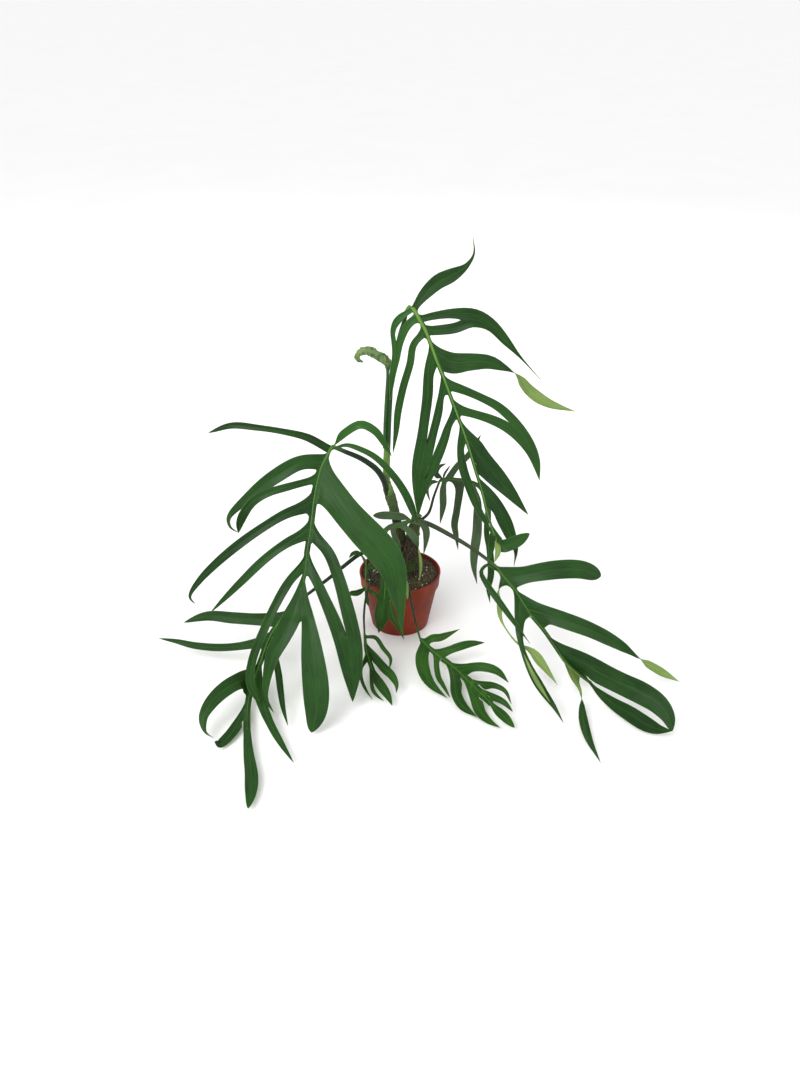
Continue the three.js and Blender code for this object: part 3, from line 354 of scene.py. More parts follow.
HANGING_LEAF = leaf(
    ((388, 592, 14), (382, 574, 46), (373, 577, 80), (367, 593, 102), (364, 614, 112), (364.5, 634, 121)),
    (2.4, 1.8),
    ((364.5, 634, 121), (366, 648, 141), (369.5, 661, 163), (373.5, 672, 184)),
    (1.6, 1.2, 0.9),
    lobe((0.4, 1.9), (18, 16, 15, 17, 16, 10), 238, 4, ((376, 659), (384, 668), (392, 676), (396.5, 685),
        (396.4, 693))),
    lobe((3, 3), (8, 15, 17, 16, 11), 268, 4, ((378, 681), (383.5, 689), (388.5, 697), (392.2, 705.5))),
    lobe((2.2, 2.9), (8, 7, 7, 7, 5), 255, 4, ((371.5, 681), (373, 690), (377.5, 696), (383.8, 701))),
    lobe((1.4, 2.0), (7, 6, 6, 6, 4), 252, 4, ((361.5, 668), (361.5, 679), (366, 690), (372.6, 699.5))),
    lobe((0.0, 0.4), (5, 7, 8, 8, 5), 176, 8, ((376, 638), (383, 648), (390.5, 658.5), (389, 671))),
)

BACK_LEAF = leaf(
    ((420, 521, -5), (428.5, 513, -12), (434, 496, -18), (440, 480, -23)),
    (2.8, 2.0),
    ((440, 480, -23), (452, 479.5, -26), (464.5, 481, -28), (474, 483.5, -28), (482, 487.6, -25)),
    (1.8, 1.4, 1.0),
    lobe((0.0, 0.3), (8, 10, 9, 7), -14, 6, ((436, 473), (439, 467), (446, 463.5))),
    lobe((0.1, 0.4), (4, 4, 4, 3), -30, 0, ((444.5, 474), (450.5, 465))),
    lobe((0.3, 1.0), (12, 11, 11, 9), -46, -4, ((457, 466.5), (468.5, 455), (480.8, 435))),
    lobe((0.0, 0.6), (10, 12, 13, 10, 6), -6, 4, ((443, 492), (443, 505), (440, 524))),
    lobe((0.0, 0.2), (5, 7, 6, 5), 0, 6, ((431, 483), (427.3, 489), (430, 501.5))),
    lobe((1.3, 2.1), (15, 14, 13, 14, 12, 7), -4, 2, ((458.5, 499), (456.5, 512), (454.5, 525),
        (456.5, 537), (458, 550))),
    lobe((2.6, 3.2), (13, 14, 17, 19, 17, 10), 14, -4, ((477.5, 500), (477.5, 516), (477, 533),
        (474.5, 551), (474, 567), (477, 584))),
    lobe((3.6, 4.0), (7, 8, 8, 5), -2, 0, ((485.5, 496), (488.5, 507), (491, 520))),
)

CROWN_LEAF = leaf(
    ((413.5, 524, 4), (411, 520.5, 14)),
    (3, 2.4),
    ((411, 520.5, 14), (400, 524.5, 26), (390, 527, 33), (382, 533, 40)),
    (2.2, 1.6, 1.2),
    lobe((0, 0.2), (6, 13, 14, 15, 14), 20, 2, ((402, 517), (390, 515.5), (373, 515.5)), point=8),
    lobe((0.8, 1.2), (7, 12, 11, 5, 7, 6, 3), 44, 8, ((409.5, 531.5), (416, 541), (419.5, 553),
        (420.8, 566), (419, 583)), turn=(0, 0, 10, 140, 180, 180, 180)),
    lobe((1.7, 2.1), (6, 9, 10, 8, 5), 42, 4, ((395, 538), (398.5, 547), (401.5, 557))),
    lobe((2.4, 3.0), (8, 12, 12, 8), 56, 0, ((381, 541), (384, 551), (391, 561))),
    lobe((0, 0.2), (6, 12, 13, 9, 5), 30, 4, ((421.5, 523), (426, 530), (426, 540), (423.5, 555))),
)

RIM_LEAF = leaf(
    ((391, 592, 20), (388.5, 573, 42), (387, 571, 64), (385.5, 576, 84)),
    (2.4, 1.8),
    ((385.5, 576, 84), (385, 588, 96), (384, 600, 103)),
    (1.7, 1.4, 1.0),
    lobe((2, 2), (23, 27, 27, 19, 10), 112, 2, ((383, 608), (381.5, 618), (378.7, 633))),
    lobe((0.5, 1.4), (12, 11, 12, 10, 6), 116, 6, ((389, 603), (392, 616), (399, 628), (404, 639.5))),
    lobe((0.0, 0.6), (8, 8, 7, 6.5, 6.5), 106, 4, ((393, 573), (401, 574), (406, 581), (407.2, 590),
        (407.4, 599)), turn=(0, 0, 90, 180, 180), point=9),
)

SIDE_SHOOT = leaf(
    ((374, 588, 30), (369, 572, 44), (362, 556, 52)),
    (1.9, 1.6),
    ((362, 556, 52), (365.5, 561, 58), (366, 570, 64), (365.5, 580, 75), (366, 591, 88)),
    (1.6, 1.4, 1.0),
    lobe((1.7, 2.0), (4, 9, 9, 6), 62, 4, ((371, 566.5), (375.5, 563.5), (379.5, 562))),
    lobe((4, 4), (4, 6, 7, 5), 96, 2, ((367, 599), (368.3, 606))),
    lobe((0, 0.2), (3, 7, 7, 4), 50, 4, ((357, 552.5), (353, 553.5), (349, 558))),
    lobe((3.6, 3.9), (4, 10, 10, 7), 104, 4, ((357, 593), (351, 593.5), (344.5, 598))),
    lobe((3.7, 3.9), (3, 7, 8, 4), 100, 2, ((372, 592), (376, 595), (381, 601))),
)

NEW_LEAF = dict(
    route=((384.2, 448, -3), (384.8, 425, -4), (386.2, 398, -5), (387.6, 374, -4), (387, 362, -3),
           (383, 358.5, -1), (376.5, 354.8, 1), (370.8, 351.6, 4), (365, 350.6, 6), (360, 352.6, 8),
           (357.3, 356.2, 9), (358.4, 359.7, 10), (362.8, 362, 10)),
    radii=(*[2.4] * 14, 2.8, 5.6, 7.4, 7.6, 7.2, 7.4, 6.8, 5.0, 3.8, 1.5),
)

# The trunk and its fork, each with the share of its length that is bark
BRANCHES = (
    dict(route=((406, 590, 2), (407.5, 574, 0), (409, 556, -2), (412, 538, -1), (416, 520, 0),
                (417.5, 515, 0)),
         radii=(15, 16, 15, 13, 11, 8), bark=0.74, seed=3, ring_gap=19, depth=0.15, strands=22, tufts=260),
    dict(route=((407, 556, -3), (402, 541, -6), (397.5, 525, -6), (393, 505, -5), (387.5, 487, -3),
                (386.5, 483, -3)),
         radii=(9, 9, 8.5, 8.5, 9.5, 8), bark=0.55, seed=7, ring_gap=15, depth=0.08, strands=8, tufts=50),
)

FORWARD = np.array([0, math.cos(EYE_ELEVATION), -math.sin(EYE_ELEVATION)])
RIGHT = np.array([1.0, 0, 0])
UP = np.array([0, math.sin(EYE_ELEVATION), math.cos(EYE_ELEVATION)])
EYE = (np.array([0, 0, POT_HEIGHT]) - EYE_DISTANCE * FORWARD
       + UP * EYE_DISTANCE * (RIM_CENTRE_ROW - FRAME_CENTRE[1]) / FOCAL_PIXELS)


def placed(name, data):
    """A new object in the scene."""
    made = bpy.data.objects.new(name, data)
    bpy.context.scene.collection.objects.link(made)
    return made


def camera():
    """The photograph's viewpoint."""
    data = bpy.data.cameras.new("camera")
    data.sensor_width = SENSOR_LONG_SIDE
    data.lens = FOCAL_PIXELS / FRAME_HEIGHT * SENSOR_LONG_SIDE
    data.clip_end = CLIP_END
    seen_from = placed("camera", data)
    seen_from.location = EYE * MM
    seen_from.rotation_euler = (math.pi / 2 - EYE_ELEVATION, 0, 0)
    bpy.context.scene.camera = seen_from


def unit(vectors):
    return vectors / np.linalg.norm(vectors, axis=-1, keepdims=True)


def ease(share, low, high):
    """0 below low, 1 above high, and smooth between them."""
    t = np.clip((share - low) / (high - low), 0, 1)
    return t * t * (3 - 2 * t)


def sight(place):
    """The point seen at a column and row of the frame, at a reach in front of the pot's axis."""
    column, row, reach = place
    ray = (FORWARD + RIGHT * (column - FRAME_CENTRE[0]) / FOCAL_PIXELS
           + UP * (FRAME_CENTRE[1] - row) / FOCAL_PIXELS)
    return EYE + ray * (-reach - EYE[1]) / ray[1]


def seen(point):
    """The column and row at which a point is seen."""
    away = point - EYE
    depth = away @ FORWARD
    return (FRAME_CENTRE[0] + away @ RIGHT / depth * FOCAL_PIXELS,
            FRAME_CENTRE[1] - away @ UP / depth * FOCAL_PIXELS)


class Curve:
    """A centripetal Catmull-Rom curve, read by its share of knots or by its share of length."""

    DIVISIONS = 200
    NUDGE = 0.0001

    def __init__(self, points):
        self.points = np.array(points, float)
        before = 2 * self.points[0] - self.points[1]
        after = 2 * self.points[-1] - self.points[-2]
        self.knots = np.vstack([before, self.points, after])
        self.shares = np.linspace(0, 1, self.DIVISIONS + 1)
        steps = np.linalg.norm(np.diff(self.at_knots(self.shares), axis=0), axis=1)
        self.lengths = np.concatenate([[0], np.cumsum(steps)])
        self.length = self.lengths[-1]

    def at_knots(self, share):
        place = np.atleast_1d(share) * (len(self.points) - 1)
        index = np.clip(np.floor(place).astype(int), 0, len(self.points) - 2)
        t = (place - index)[:, None]
        a, b, c, d = (self.knots[index + k] for k in range(4))
        gap_ab, gap_bc, gap_cd = (np.sqrt(np.linalg.norm(q - p, axis=1, keepdims=True))
                                  for p, q in ((a, b), (b, c), (c, d)))
        start = ((b - a) / gap_ab - (c - a) / (gap_ab + gap_bc) + (c - b) / gap_bc) * gap_bc
        end = ((c - b) / gap_bc - (d - b) / (gap_bc + gap_cd) + (d - c) / gap_cd) * gap_bc
        return (b + start * t + (3 * (c - b) - 2 * start - end) * t ** 2
                + (2 * (b - c) + start + end) * t ** 3)

    def knot_share(self, share):
        return np.interp(np.atleast_1d(share) * self.length, self.lengths, self.shares)

    def length_share(self, knot_share):
        return np.interp(np.atleast_1d(knot_share), self.shares, self.lengths) / self.length

    def at(self, share):
        return self.at_knots(self.knot_share(share))

    def tangent(self, share):
        place = self.knot_share(share)
        return unit(self.at_knots(np.minimum(place + self.NUDGE, 1))
                    - self.at_knots(np.maximum(place - self.NUDGE, 0)))


def sight_curve(places):
    return Curve([sight(place) for place in places])


def spread(values, share):
    """Values of a list spread evenly over 0 to 1, joined by a smooth curve."""
    values = np.array(values, float)
    if len(values) == 1:
        return np.full(np.shape(share), values[0])
    padded = np.concatenate([[values[0]], values, [values[-1]]])
    place = np.clip(share, 0, 1) * (len(values) - 1)
    index = np.minimum(place.astype(int), len(values) - 2)
    t = place - index
    a, b, c, d = (padded[index + k] for k in range(4))
    return b + 0.5 * t * (c - a + t * (2 * a - 5 * b + 4 * c - d + t * (3 * (b - c) + d - a)))


def lobe_curve(start, shape):
    """A lobe's centre line, from the midrib to its tip, with its reach eased from one to the other."""
    route, reach, bow = shape["route"], shape["reach"], shape["bow"]
    places = np.array([seen(start), *route])
    travelled = np.cumsum(np.linalg.norm(np.diff(places, axis=0), axis=1))
    share = travelled / travelled[-1]
    reaches = -start[1] + (reach + start[1]) * share + bow * 4 * share * (1 - share)
    return Curve([start, *(sight((*place, r)) for place, r in zip(route, reaches))])


def directions(curve, share, turn=0.0):
    """Centre, across and normal at shares of a curve: the normal faces the viewer, turned about
    the curve by an angle."""
    nudge = 0.01
    share = np.atleast_1d(share)
    centre = curve.at(share)
    tangent = unit(curve.at(np.minimum(share + nudge, 1)) - curve.at(np.maximum(share - nudge, 0)))
    across = unit(np.cross(unit(EYE - centre), tangent))
    normal = np.cross(tangent, across)
    angle = np.radians(np.broadcast_to(turn, share.shape))[:, None]
    return (centre, across * np.cos(angle) + normal * np.sin(angle),
            normal * np.cos(angle) - across * np.sin(angle))


def layered(*values):
    """Numbers spread over the same rows and columns, as one array of triples."""
    return np.stack(np.broadcast_arrays(*values), axis=-1)


class Shells:
    """Closed shells gathered into one mesh, with a material slot for each face. Each point keeps
    its place on the blade (across and along in millimetres, and side from -1 to 1) and its shell's
    tone, from -1 to 1, and more where a lobe carries painted sheen."""

    def __init__(self):
        self.points, self.blade, self.tone = [], [], []
        self.faces, self.slots, self.smooth = [], [], []
        self.count = 0

    def add(self, points, faces, slots, smooth, tone=0, blade=None):
        """One shell. slots and smooth are one value for all its faces, or one for each."""
        self.points.append(points)
        self.blade.append(np.zeros((len(points), 3)) if blade is None else blade.reshape(-1, 3))
        self.tone.append(np.full(len(points), tone))
        self.faces.extend(tuple(i + self.count for i in face) for face in faces)
        self.slots.append(np.broadcast_to(slots, len(faces)))
        self.smooth.append(np.broadcast_to(smooth, len(faces)))
        self.count += len(points)

    def solid(self, name, materials=()):
        """The shells as one object."""
        mesh = bpy.data.meshes.new(name)
        mesh.from_pydata(np.concatenate(self.points) * MM, [], self.faces)
        for finish in materials:
            mesh.materials.append(finish)
        mesh.polygons.foreach_set("material_index", np.concatenate(self.slots))
        mesh.polygons.foreach_set("use_smooth", np.concatenate(self.smooth))
        for key, kind, field, values in (("blade", "FLOAT_VECTOR", "vector", self.blade),
                                         ("tone", "FLOAT", "value", self.tone)):
            layer = mesh.attributes.new(key, kind, "POINT")
            layer.data.foreach_set(field, np.concatenate(values).ravel())
        mesh.update()
        return placed(name, mesh)

    def piece(self, name, materials, slot, *nodes):
        """The shells as one piece that stands for CAD nodes."""
        made = self.solid(name, materials)
        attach(made, "root")
        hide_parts(*nodes)
        return made


UPPER, UNDER, RIB = 0, 1, 2


def add_sheet(shells, grid, tone, slits=()):
    """A thin closed sheet over a grid of places: its upper face, its under face and its rims. A slit
    is a column of cells that is open in some rows."""
    place = grid["place"]
    rows, columns = place.shape[:2]
    normal = np.cross(np.gradient(place, axis=0), np.gradient(place, axis=1))
    size = np.linalg.norm(normal, axis=2, keepdims=True)
    normal = np.where(size > NO_SIZE, normal / np.maximum(size, NO_SIZE), grid["normal"])
    turned_over = np.sum(normal * grid["normal"], axis=2, keepdims=True) < 0
    normal = np.where(turned_over, -normal, normal)
    half = normal * grid["thickness"][:, :, None] / 2
    points = np.concatenate([(place + half).reshape(-1, 3), (place - half).reshape(-1, 3)])
    whole = np.ones((rows + 1, columns + 1), bool)
    whole[[0, -1], :] = whole[:, [0, -1]] = False
    for column, is_open in slits:
        whole[1:-1, column + 1] = ~is_open
    below = rows * columns
    cells = []
    for i, j in np.argwhere(whole[1:-1, 1:-1]).tolist():
        a = i * columns + j
        b, c, d = a + columns, a + columns + 1, a + 1
        cells.append(((a, b, c, d), UPPER, True))
        cells.append(((below + d, below + c, below + b, below + a), UNDER, True))
        for start, end, met in ((a, b, whole[i + 1, j]), (b, c, whole[i + 2, j + 1]),
                                (c, d, whole[i + 1, j + 2]), (d, a, whole[i, j + 1])):
            if not met:
                cells.append(((end, start, below + start, below + end), UNDER, False))
    shells.add(points, *zip(*cells), tone, np.concatenate([grid["blade"]] * 2))


def beside(bases, side):
    """The lobe bases on one side of the midrib, from its foot to its tip."""
    return sorted((b for b in bases if b["side"] == side), key=lambda b: b["low"] + b["high"])


def set_out(midrib, lobes, tiled):
    """Each lobe's centre line, its side of the midrib (0 at its end) and the shares of the midrib's
    length that its base covers. A base ends close to its lobe towards the blade's tip, and runs on
    along the midrib towards the blade's foot."""
    last = len(midrib.points) - 1
    snug, swept = SNUG_REACH / midrib.length, SWEPT_REACH / midrib.length
    bases = []
    for shape in lobes:
        low, high = shape["root"]
        middle = (low + high) / 2 / last
        curve = lobe_curve(midrib.at_knots(middle)[0], shape)
        across = directions(midrib, midrib.length_share(middle))[1][0]
        away = (curve.at(LEAVING) - curve.at(0))[0]
        side = 0 if low == high == last else math.copysign(1, away @ across)
        low, high = midrib.length_share([low / last, high / last])
        bases.append(dict(shape=shape, curve=curve, side=side, low=low, high=high))
    for row in (beside(bases, -1), beside(bases, 1)) if tiled else ():
        for before, after in zip(row, row[1:]):
            before["high"] += min(snug, SNUG_SHARE * (after["low"] - before["high"]))
            after["low"] = max(before["high"], after["low"] - swept)
        if row:
            row[0]["low"] = max(row[0]["low"] - swept, 0)
            row[-1]["high"] = min(row[-1]["high"] + snug, 1)
    return bases


def add_wings(shells, midrib, wing, bases):
    """The narrow strips of blade along the midrib, between the bases of the lobes."""
    steps = np.array(WING_STEPS)
    for side in (-1, 1):
        ends = [0, *(base[end] for base in beside(bases, side) for end in ("low", "high")), 1]
        for low, high in zip(ends[::2], ends[1::2]):
            if (high - low) * midrib.length < LEAST_WING:
                continue
            share = np.linspace(low, high, WING_ROWS)[::side]
            rib, out, normal = directions(midrib, share)
            reach = spread(wing, share)[:, None]
            edge = out * side * reach + normal * reach * WING_LIFT
            add_sheet(shells, dict(
                place=rib[:, None, :] + edge[:, None, :] * steps[None, :, None],
                blade=layered(reach * steps * side, share[:, None] * midrib.length,
                              steps * side * WING_SIDE),
                thickness=np.full((WING_ROWS, len(steps)), BLADE_THICKNESS),
                normal=np.repeat(normal[:, None, :], len(steps), axis=1)), 0)


def flare(excess, rounding, travelled, length):
    """How far a lobe's edge stands out from its plain width near its base."""
    if excess <= 0:
        return excess * (1 - ease(travelled, 0, NARROWING * length))
    corner = min(excess * rounding + CORNER_START, LONGEST_CORNER * length)
    x = np.minimum(travelled / corner, 1)
    return excess * (1 - np.sqrt(np.maximum(1 - (1 - x) ** 2, 0)))


def lobe_grid(midrib, wing, base, chance):
    """A lobe with a creased middle vein, raised edges and a slight wave along its margins. Its base
    follows the midrib, with a tight corner on one side and a wide one on the other."""
    shape, curve = base["shape"], base["curve"]
    sides = np.array(COLUMN_SIDES)
    middle = (base["low"] + base["high"]) / 2
    leaving = abs(curve.tangent(LEAVING_NEAR)[0] @ midrib.tangent(middle)[0])
    width = spread(wing, np.array([middle]))[0]
    slant = math.sqrt(max(1 - leaving ** 2, LEAST_SLANT))
    start = 0 if base["side"] == 0 else width / slant / curve.length
    even = np.linspace(0, 1, LOBE_ROWS)
    share = start + (1 - start) * (even - ROW_CROWDING * np.sin(2 * np.pi * even))
    along = share * curve.length
    travelled = along - along[0]
    centre, across, normal = directions(curve, share, spread(shape["turn"], share))
    closing = np.maximum(1 - share ** shape["point"], 0) ** TIP_TAPER
    half = np.maximum(spread(shape["widths"], share) * closing, TIP_WIDTH) / 2

    first, last = midrib.at(base["low"])[0], midrib.at(base["high"])[0]
    sense = 1 if (first - last) @ across[0] > 0 else -1
    if base["side"]:
        root_share = base["high"] + (base["low"] - base["high"]) * (sides * sense + 1) / 2
        outward = np.full(len(sides), base["side"])
        setback = 0
    else:
        rib_across = directions(midrib, middle)[1][0]
        setback = CLASP / midrib.length * np.abs(sides)
        root_share = 1 - setback
        outward = sides * math.copysign(1, rib_across @ across[0])
    root_share = np.clip(root_share, ROOT_INSET, 1 - ROOT_INSET)
    rib, rib_out, rib_normal = directions(midrib, root_share)
    reach = spread(wing, root_share)[:, None]
    edge = rib + rib_out * outward[:, None] * reach + rib_normal * reach * WING_LIFT
    rib, rib_out, rib_normal = directions(midrib, root_share - setback)
    root = rib + rib_out * outward[:, None] * TIP_WIDTH / 2

    excess = (edge[[0, -1]] - centre[0]) @ across[0] * np.array([-1, 1]) - half[0]
    left, right = (half + flare(more, rounding, travelled, curve.length)
                   for more, rounding in zip(excess, (SNUG_ROUNDING, SWEPT_ROUNDING)[::sense]))
    out = np.where(sides < 0, left[:, None], right[:, None]) * sides
    phase, wave_length = chance.uniform(0, 2 * np.pi), chance.uniform(*WAVE_LENGTHS)
    wave = np.sin(2 * np.pi * along / wave_length + phase)[:, None] * np.abs(sides) ** 3 * sides
    crease = CREASE * np.abs(sides) * (1 - np.exp(-np.abs(sides) / CREASE_WIDTH))
    lift = (CUPPING * (sides ** 2 - 0.5) + crease)[None, :] * half[:, None]
    lift = lift + wave * np.minimum(half, WAVED_WIDTH)[:, None] * MARGIN_WAVE
    place = (centre[:, None, :] + across[:, None, :] * out[:, :, None]
             + normal[:, None, :] * lift[:, :, None])
    shift = edge - place[0]
    pulled = np.abs(shift @ curve.tangent(start)[0]).max()
    settled = np.clip(SETTLING * pulled, LEAST_SETTLING, MOST_SETTLING * travelled[-1])
    fading = (1 - np.minimum(travelled / settled, 1)) ** 2
    place = place + shift[None, :, :] * fading[:, None, None]

    inner = np.array(BASE_ROWS)
    place = np.concatenate([root + (edge - root) * inner[:, None, None], place])
    out = np.concatenate([[out[0]] * len(inner), out])
    along = np.concatenate([along[0] - width * (1 - inner), along])
    thickness = np.tile(BLADE_THICKNESS * (1 - RIM_THINNING * np.abs(sides) ** 6), (len(place), 1))
    facing = np.concatenate([[normal[0]] * len(inner), normal])[:, None, :]
    return dict(place=place, blade=layered(out, along[:, None], sides), thickness=thickness,
                normal=np.broadcast_to(facing, place.shape))


def joined(grids):
    """Lobes that grow into one blade: where two neighbours' edges overlap they share one edge, and
    where they stand apart there is a slit."""
    rows, columns = grids[0]["place"].shape[:2]
    middle = columns // 2
    towards = unit(grids[0]["place"][rows // 3, -1] - grids[0]["place"][rows // 3, 0])
    grids = sorted(grids, key=lambda grid: grid["place"][rows // 3, middle] @ towards)
    weight = (np.array(COLUMN_SIDES) + 1)[None, :, None] / 2
    slits = []
    for count, (left, right) in enumerate(zip(grids, grids[1:]), 1):
        across = unit(left["place"][:, -1] - left["place"][:, 0])
        gap = np.sum((right["place"][:, 0] - left["place"][:, -1]) * across, axis=1)
        shared = gap < SLIT_END
        met = np.flatnonzero(shared)
        for this, following in zip(met, met[1:]):
            if following - this < SHORT_BREAK:
                shared[this:following] = True
        meeting = (right["place"][:, 0] + left["place"][:, -1]) / 2
        seam = across * SEAM / 2
        left_shift = np.where(shared[:, None], meeting - seam - left["place"][:, -1], 0)
        right_shift = np.where(shared[:, None], meeting + seam - right["place"][:, 0], 0)
        left["place"] = left["place"] + left_shift[:, None, :] * weight
        right["place"] = right["place"] + right_shift[:, None, :] * (1 - weight)
        slits.append((count * columns - 1, ~(shared[1:] | shared[:-1])))
    return {key: np.concatenate([grid[key] for grid in grids], axis=1) for key in grids[0]}, slits


def ring_faces(rings, sides):
    """The faces between neighbouring rings of points."""
    return [(i * sides + k, i * sides + (k + 1) % sides, (i + 1) * sides + (k + 1) % sides,
             (i + 1) * sides + k) for i in range(rings - 1) for k in range(sides)]


def add_tube(shells, centres, tangents, radii, slot, sides, share, relief=None):
    """A closed round tube. share is what its points keep as their side, and relief(angles, along)
    its surface's height in shares of its radius."""
    steps = len(centres)
    along = np.concatenate([[0], np.cumsum(np.linalg.norm(np.diff(centres, axis=0), axis=1))])
    across = np.array([1.0, 0, 0])
    angles = 2 * np.pi * np.arange(sides) / sides
    points = np.zeros((steps, sides, 3))
    for i in range(steps):
        across = unit(across - (across @ tangents[i]) * tangents[i])
        normal = np.cross(tangents[i], across)
        height = 1 + (relief(angles, along[i]) if relief else 0)
        points[i] = centres[i] + radii[i] * (height * np.cos(angles))[:, None] * across
        points[i] += radii[i] * (height * np.sin(angles))[:, None] * normal
    faces = ring_faces(steps, sides)
    faces.append(tuple(reversed(range(sides))))
    faces.append(tuple((steps - 1) * sides + k for k in range(sides)))
    shells.add(points.reshape(-1, 3), faces, slot, [True] * (len(faces) - 2) + [False] * 2,
               blade=layered(angles * radii[:, None], along[:, None], share[:, None]))


def leaf_piece(name, layout, materials, slot, node, wing, seed):
    """A whole leaf: its petiole and midrib, and its lobes."""
    chance = np.random.default_rng(seed)
    shells = Shells()
    petiole, midrib = sight_curve(layout["petiole"]), sight_curve(layout["midrib"])
    share = np.linspace(0, 1, RIB_STEPS)
    centres = np.concatenate([petiole.at(share), midrib.at(share)[1:]])
    tangents = np.concatenate([petiole.tangent(share), midrib.tangent(share)[1:]])
    radii = np.concatenate([spread(layout["petiole_radii"], share),
                            spread(layout["midrib_radii"], share)[1:]])
    add_tube(shells, centres, tangents, radii, RIB, RIB_SIDES, np.concatenate([share, 1 + share[1:]]))
    groups = [item if isinstance(item, tuple) else (item,) for item in layout["lobes"]]
    bases = set_out(midrib, [shape for group in groups for shape in group], len(wing) > 1)
    if len(wing) > 1:
        add_wings(shells, midrib, wing, bases)
    bases = iter(bases)
    for group in groups:
        grid, slits = joined([lobe_grid(midrib, wing, next(bases), chance) for _ in group])
        # Each sheet's tone: a random tone, plus the painted sheen of its lobe's light value.
        add_sheet(shells, grid, chance.uniform(-1, 1) + group[0]["light"], slits)
    shells.piece(name, materials, slot, node)


def inner_radius(height):
    """The inside radius of the pot's wall at a height."""
    share = (height - BASE_THICKNESS) / (POT_HEIGHT - BASE_THICKNESS)
    return BASE_RADIUS + (BODY_TOP_RADIUS + INNER_FLARE - BASE_RADIUS) * share - POT_WALL


def rounded(profile):
    """A profile with each corner turned into a small arc, except the two on the axis."""
    made = [profile[0]]
    for points in zip(profile, profile[1:], profile[2:]):
        before, corner, after = np.array(points, float)
        back, on = before - corner, after - corner
        reach = min(CORNER_RADIUS, *(np.linalg.norm(side) * CORNER_SHARE for side in (back, on)))
        start, end = corner + unit(back) * reach, corner + unit(on) * reach
        for t in np.linspace(0, 1, CORNER_STEPS + 1):
            made.append((1 - t) ** 2 * start + 2 * t * (1 - t) * corner + t ** 2 * end)
    made.append(profile[-1])
    return np.array(made, float)


def add_lathe(shells, profile, sides, height_at=None):
    """A closed turned solid, from a profile that starts and ends on the axis."""
    radii, heights = profile[1:-1, :1], profile[1:-1, 1:]
    angles = 2 * np.pi * np.arange(sides) / sides
    rings = layered(radii * np.cos(angles), radii * np.sin(angles), heights)
    ends = [[0, 0, profile[0][1]], [0, 0, profile[-1][1]]]
    points = np.concatenate([rings.reshape(-1, 3), ends])
    if height_at:
        points[:, 2] += height_at(points)
    faces = ring_faces(len(rings), sides)
    first, last = len(points) - 2, len(points) - 1
    end = (len(rings) - 1) * sides
    for k in range(sides):
        n = (k + 1) % sides
        faces.extend([(first, n, k), (last, end + k, end + n)])
    shells.add(points, faces, 0, True)


def pot_profile():
    """The pot's wall from the middle of its underside, over the rim and down to its inside."""
    collar_foot, lip_foot = POT_HEIGHT - COLLAR_HEIGHT, POT_HEIGHT - LIP_HEIGHT
    lip_inside = RIM_RADIUS - LIP_THICKNESS
    return rounded([
        (0, 0), (BASE_RADIUS - FOOT_CHAMFER, 0), (BASE_RADIUS, FOOT_CHAMFER),
        (BODY_TOP_RADIUS, collar_foot - 1), (COLLAR_FOOT_RADIUS, collar_foot),
        (RIM_RADIUS - LIP_CHAMFER, lip_foot), (RIM_RADIUS, lip_foot + LIP_CHAMFER),
        (RIM_RADIUS, POT_HEIGHT - LIP_CHAMFER), (RIM_RADIUS - LIP_CHAMFER, POT_HEIGHT),
        (lip_inside, POT_HEIGHT), (lip_inside - INNER_STEP, POT_HEIGHT - LIP_CHAMFER),
        (inner_radius(INNER_STEP_HEIGHT) + INNER_STEP, INNER_STEP_HEIGHT),
        (inner_radius(BASE_THICKNESS), BASE_THICKNESS), (0, BASE_THICKNESS),
    ])


def cut(piece, cutter):
    """Take one object out of another, and drop it."""
    modifier = piece.modifiers.new("cut", "BOOLEAN")
    modifier.operation, modifier.solver, modifier.object = "DIFFERENCE", "EXACT", cutter
    piece.data = bpy.data.meshes.new_from_object(
        piece.evaluated_get(bpy.context.evaluated_depsgraph_get()))
    piece.modifiers.clear()
    bpy.data.objects.remove(cutter)


def pot_piece(plastic):
    """The pot: a turned shell with a ring of round drainage holes through its base."""
    pot, holes = Shells(), Shells()
    add_lathe(pot, pot_profile(), POT_SIDES)
    top = BASE_THICKNESS + 1
    for i in range(HOLE_COUNT):
        angle = 2 * np.pi * (i + 0.5) / HOLE_COUNT
        add_lathe(holes, np.array([(0, -1), (HOLE_RADIUS, -1), (HOLE_RADIUS, top), (0, top)]), HOLE_SIDES)
        holes.points[-1] += HOLE_RING * np.array([np.cos(angle), np.sin(angle), 0])
    cut(pot.piece("nursery_pot", [plastic], "pot_plastic", "pot"), holes.solid("holes"))


def soil_height(x, y):
    """How far the potting mix stands above or below its level: low waves and crumbs."""
    waves = 1.6 * math.sin(0.13 * x + 1) * math.cos(0.11 * y + 0.05 * x)
    crumbs = noise.fractal(Vector((x, y, 0)) * 0.16, 0.8, 2.1, 5) * 1.5
    return waves + crumbs


def soil_top(points):
    """The rise of each point of the potting mix: full inside its top, and none on its wall."""
    away = np.hypot(points[:, 0], points[:, 1])
    top = points[:, 2] > SOIL_LEVEL - SOIL_TOP_BAND
    rise = np.array([soil_height(x, y) for x, y in points[:, :2]])
    drop = SOIL_EDGE_DROP * ease(away, SOIL_RADIUS - SOIL_EDGE_BAND, SOIL_RADIUS)
    return np.where(top, rise - drop, 0)


def grain_shape():
    """The points and faces of a plain 20-sided grain of radius 1."""
    shape = bmesh.new()
    bmesh.ops.create_icosphere(shape, subdivisions=1, radius=1)
    points = np.array([v.co[:] for v in shape.verts])
    faces = [tuple(v.index for v in face.verts) for face in shape.faces]
    shape.free()
    return points, faces


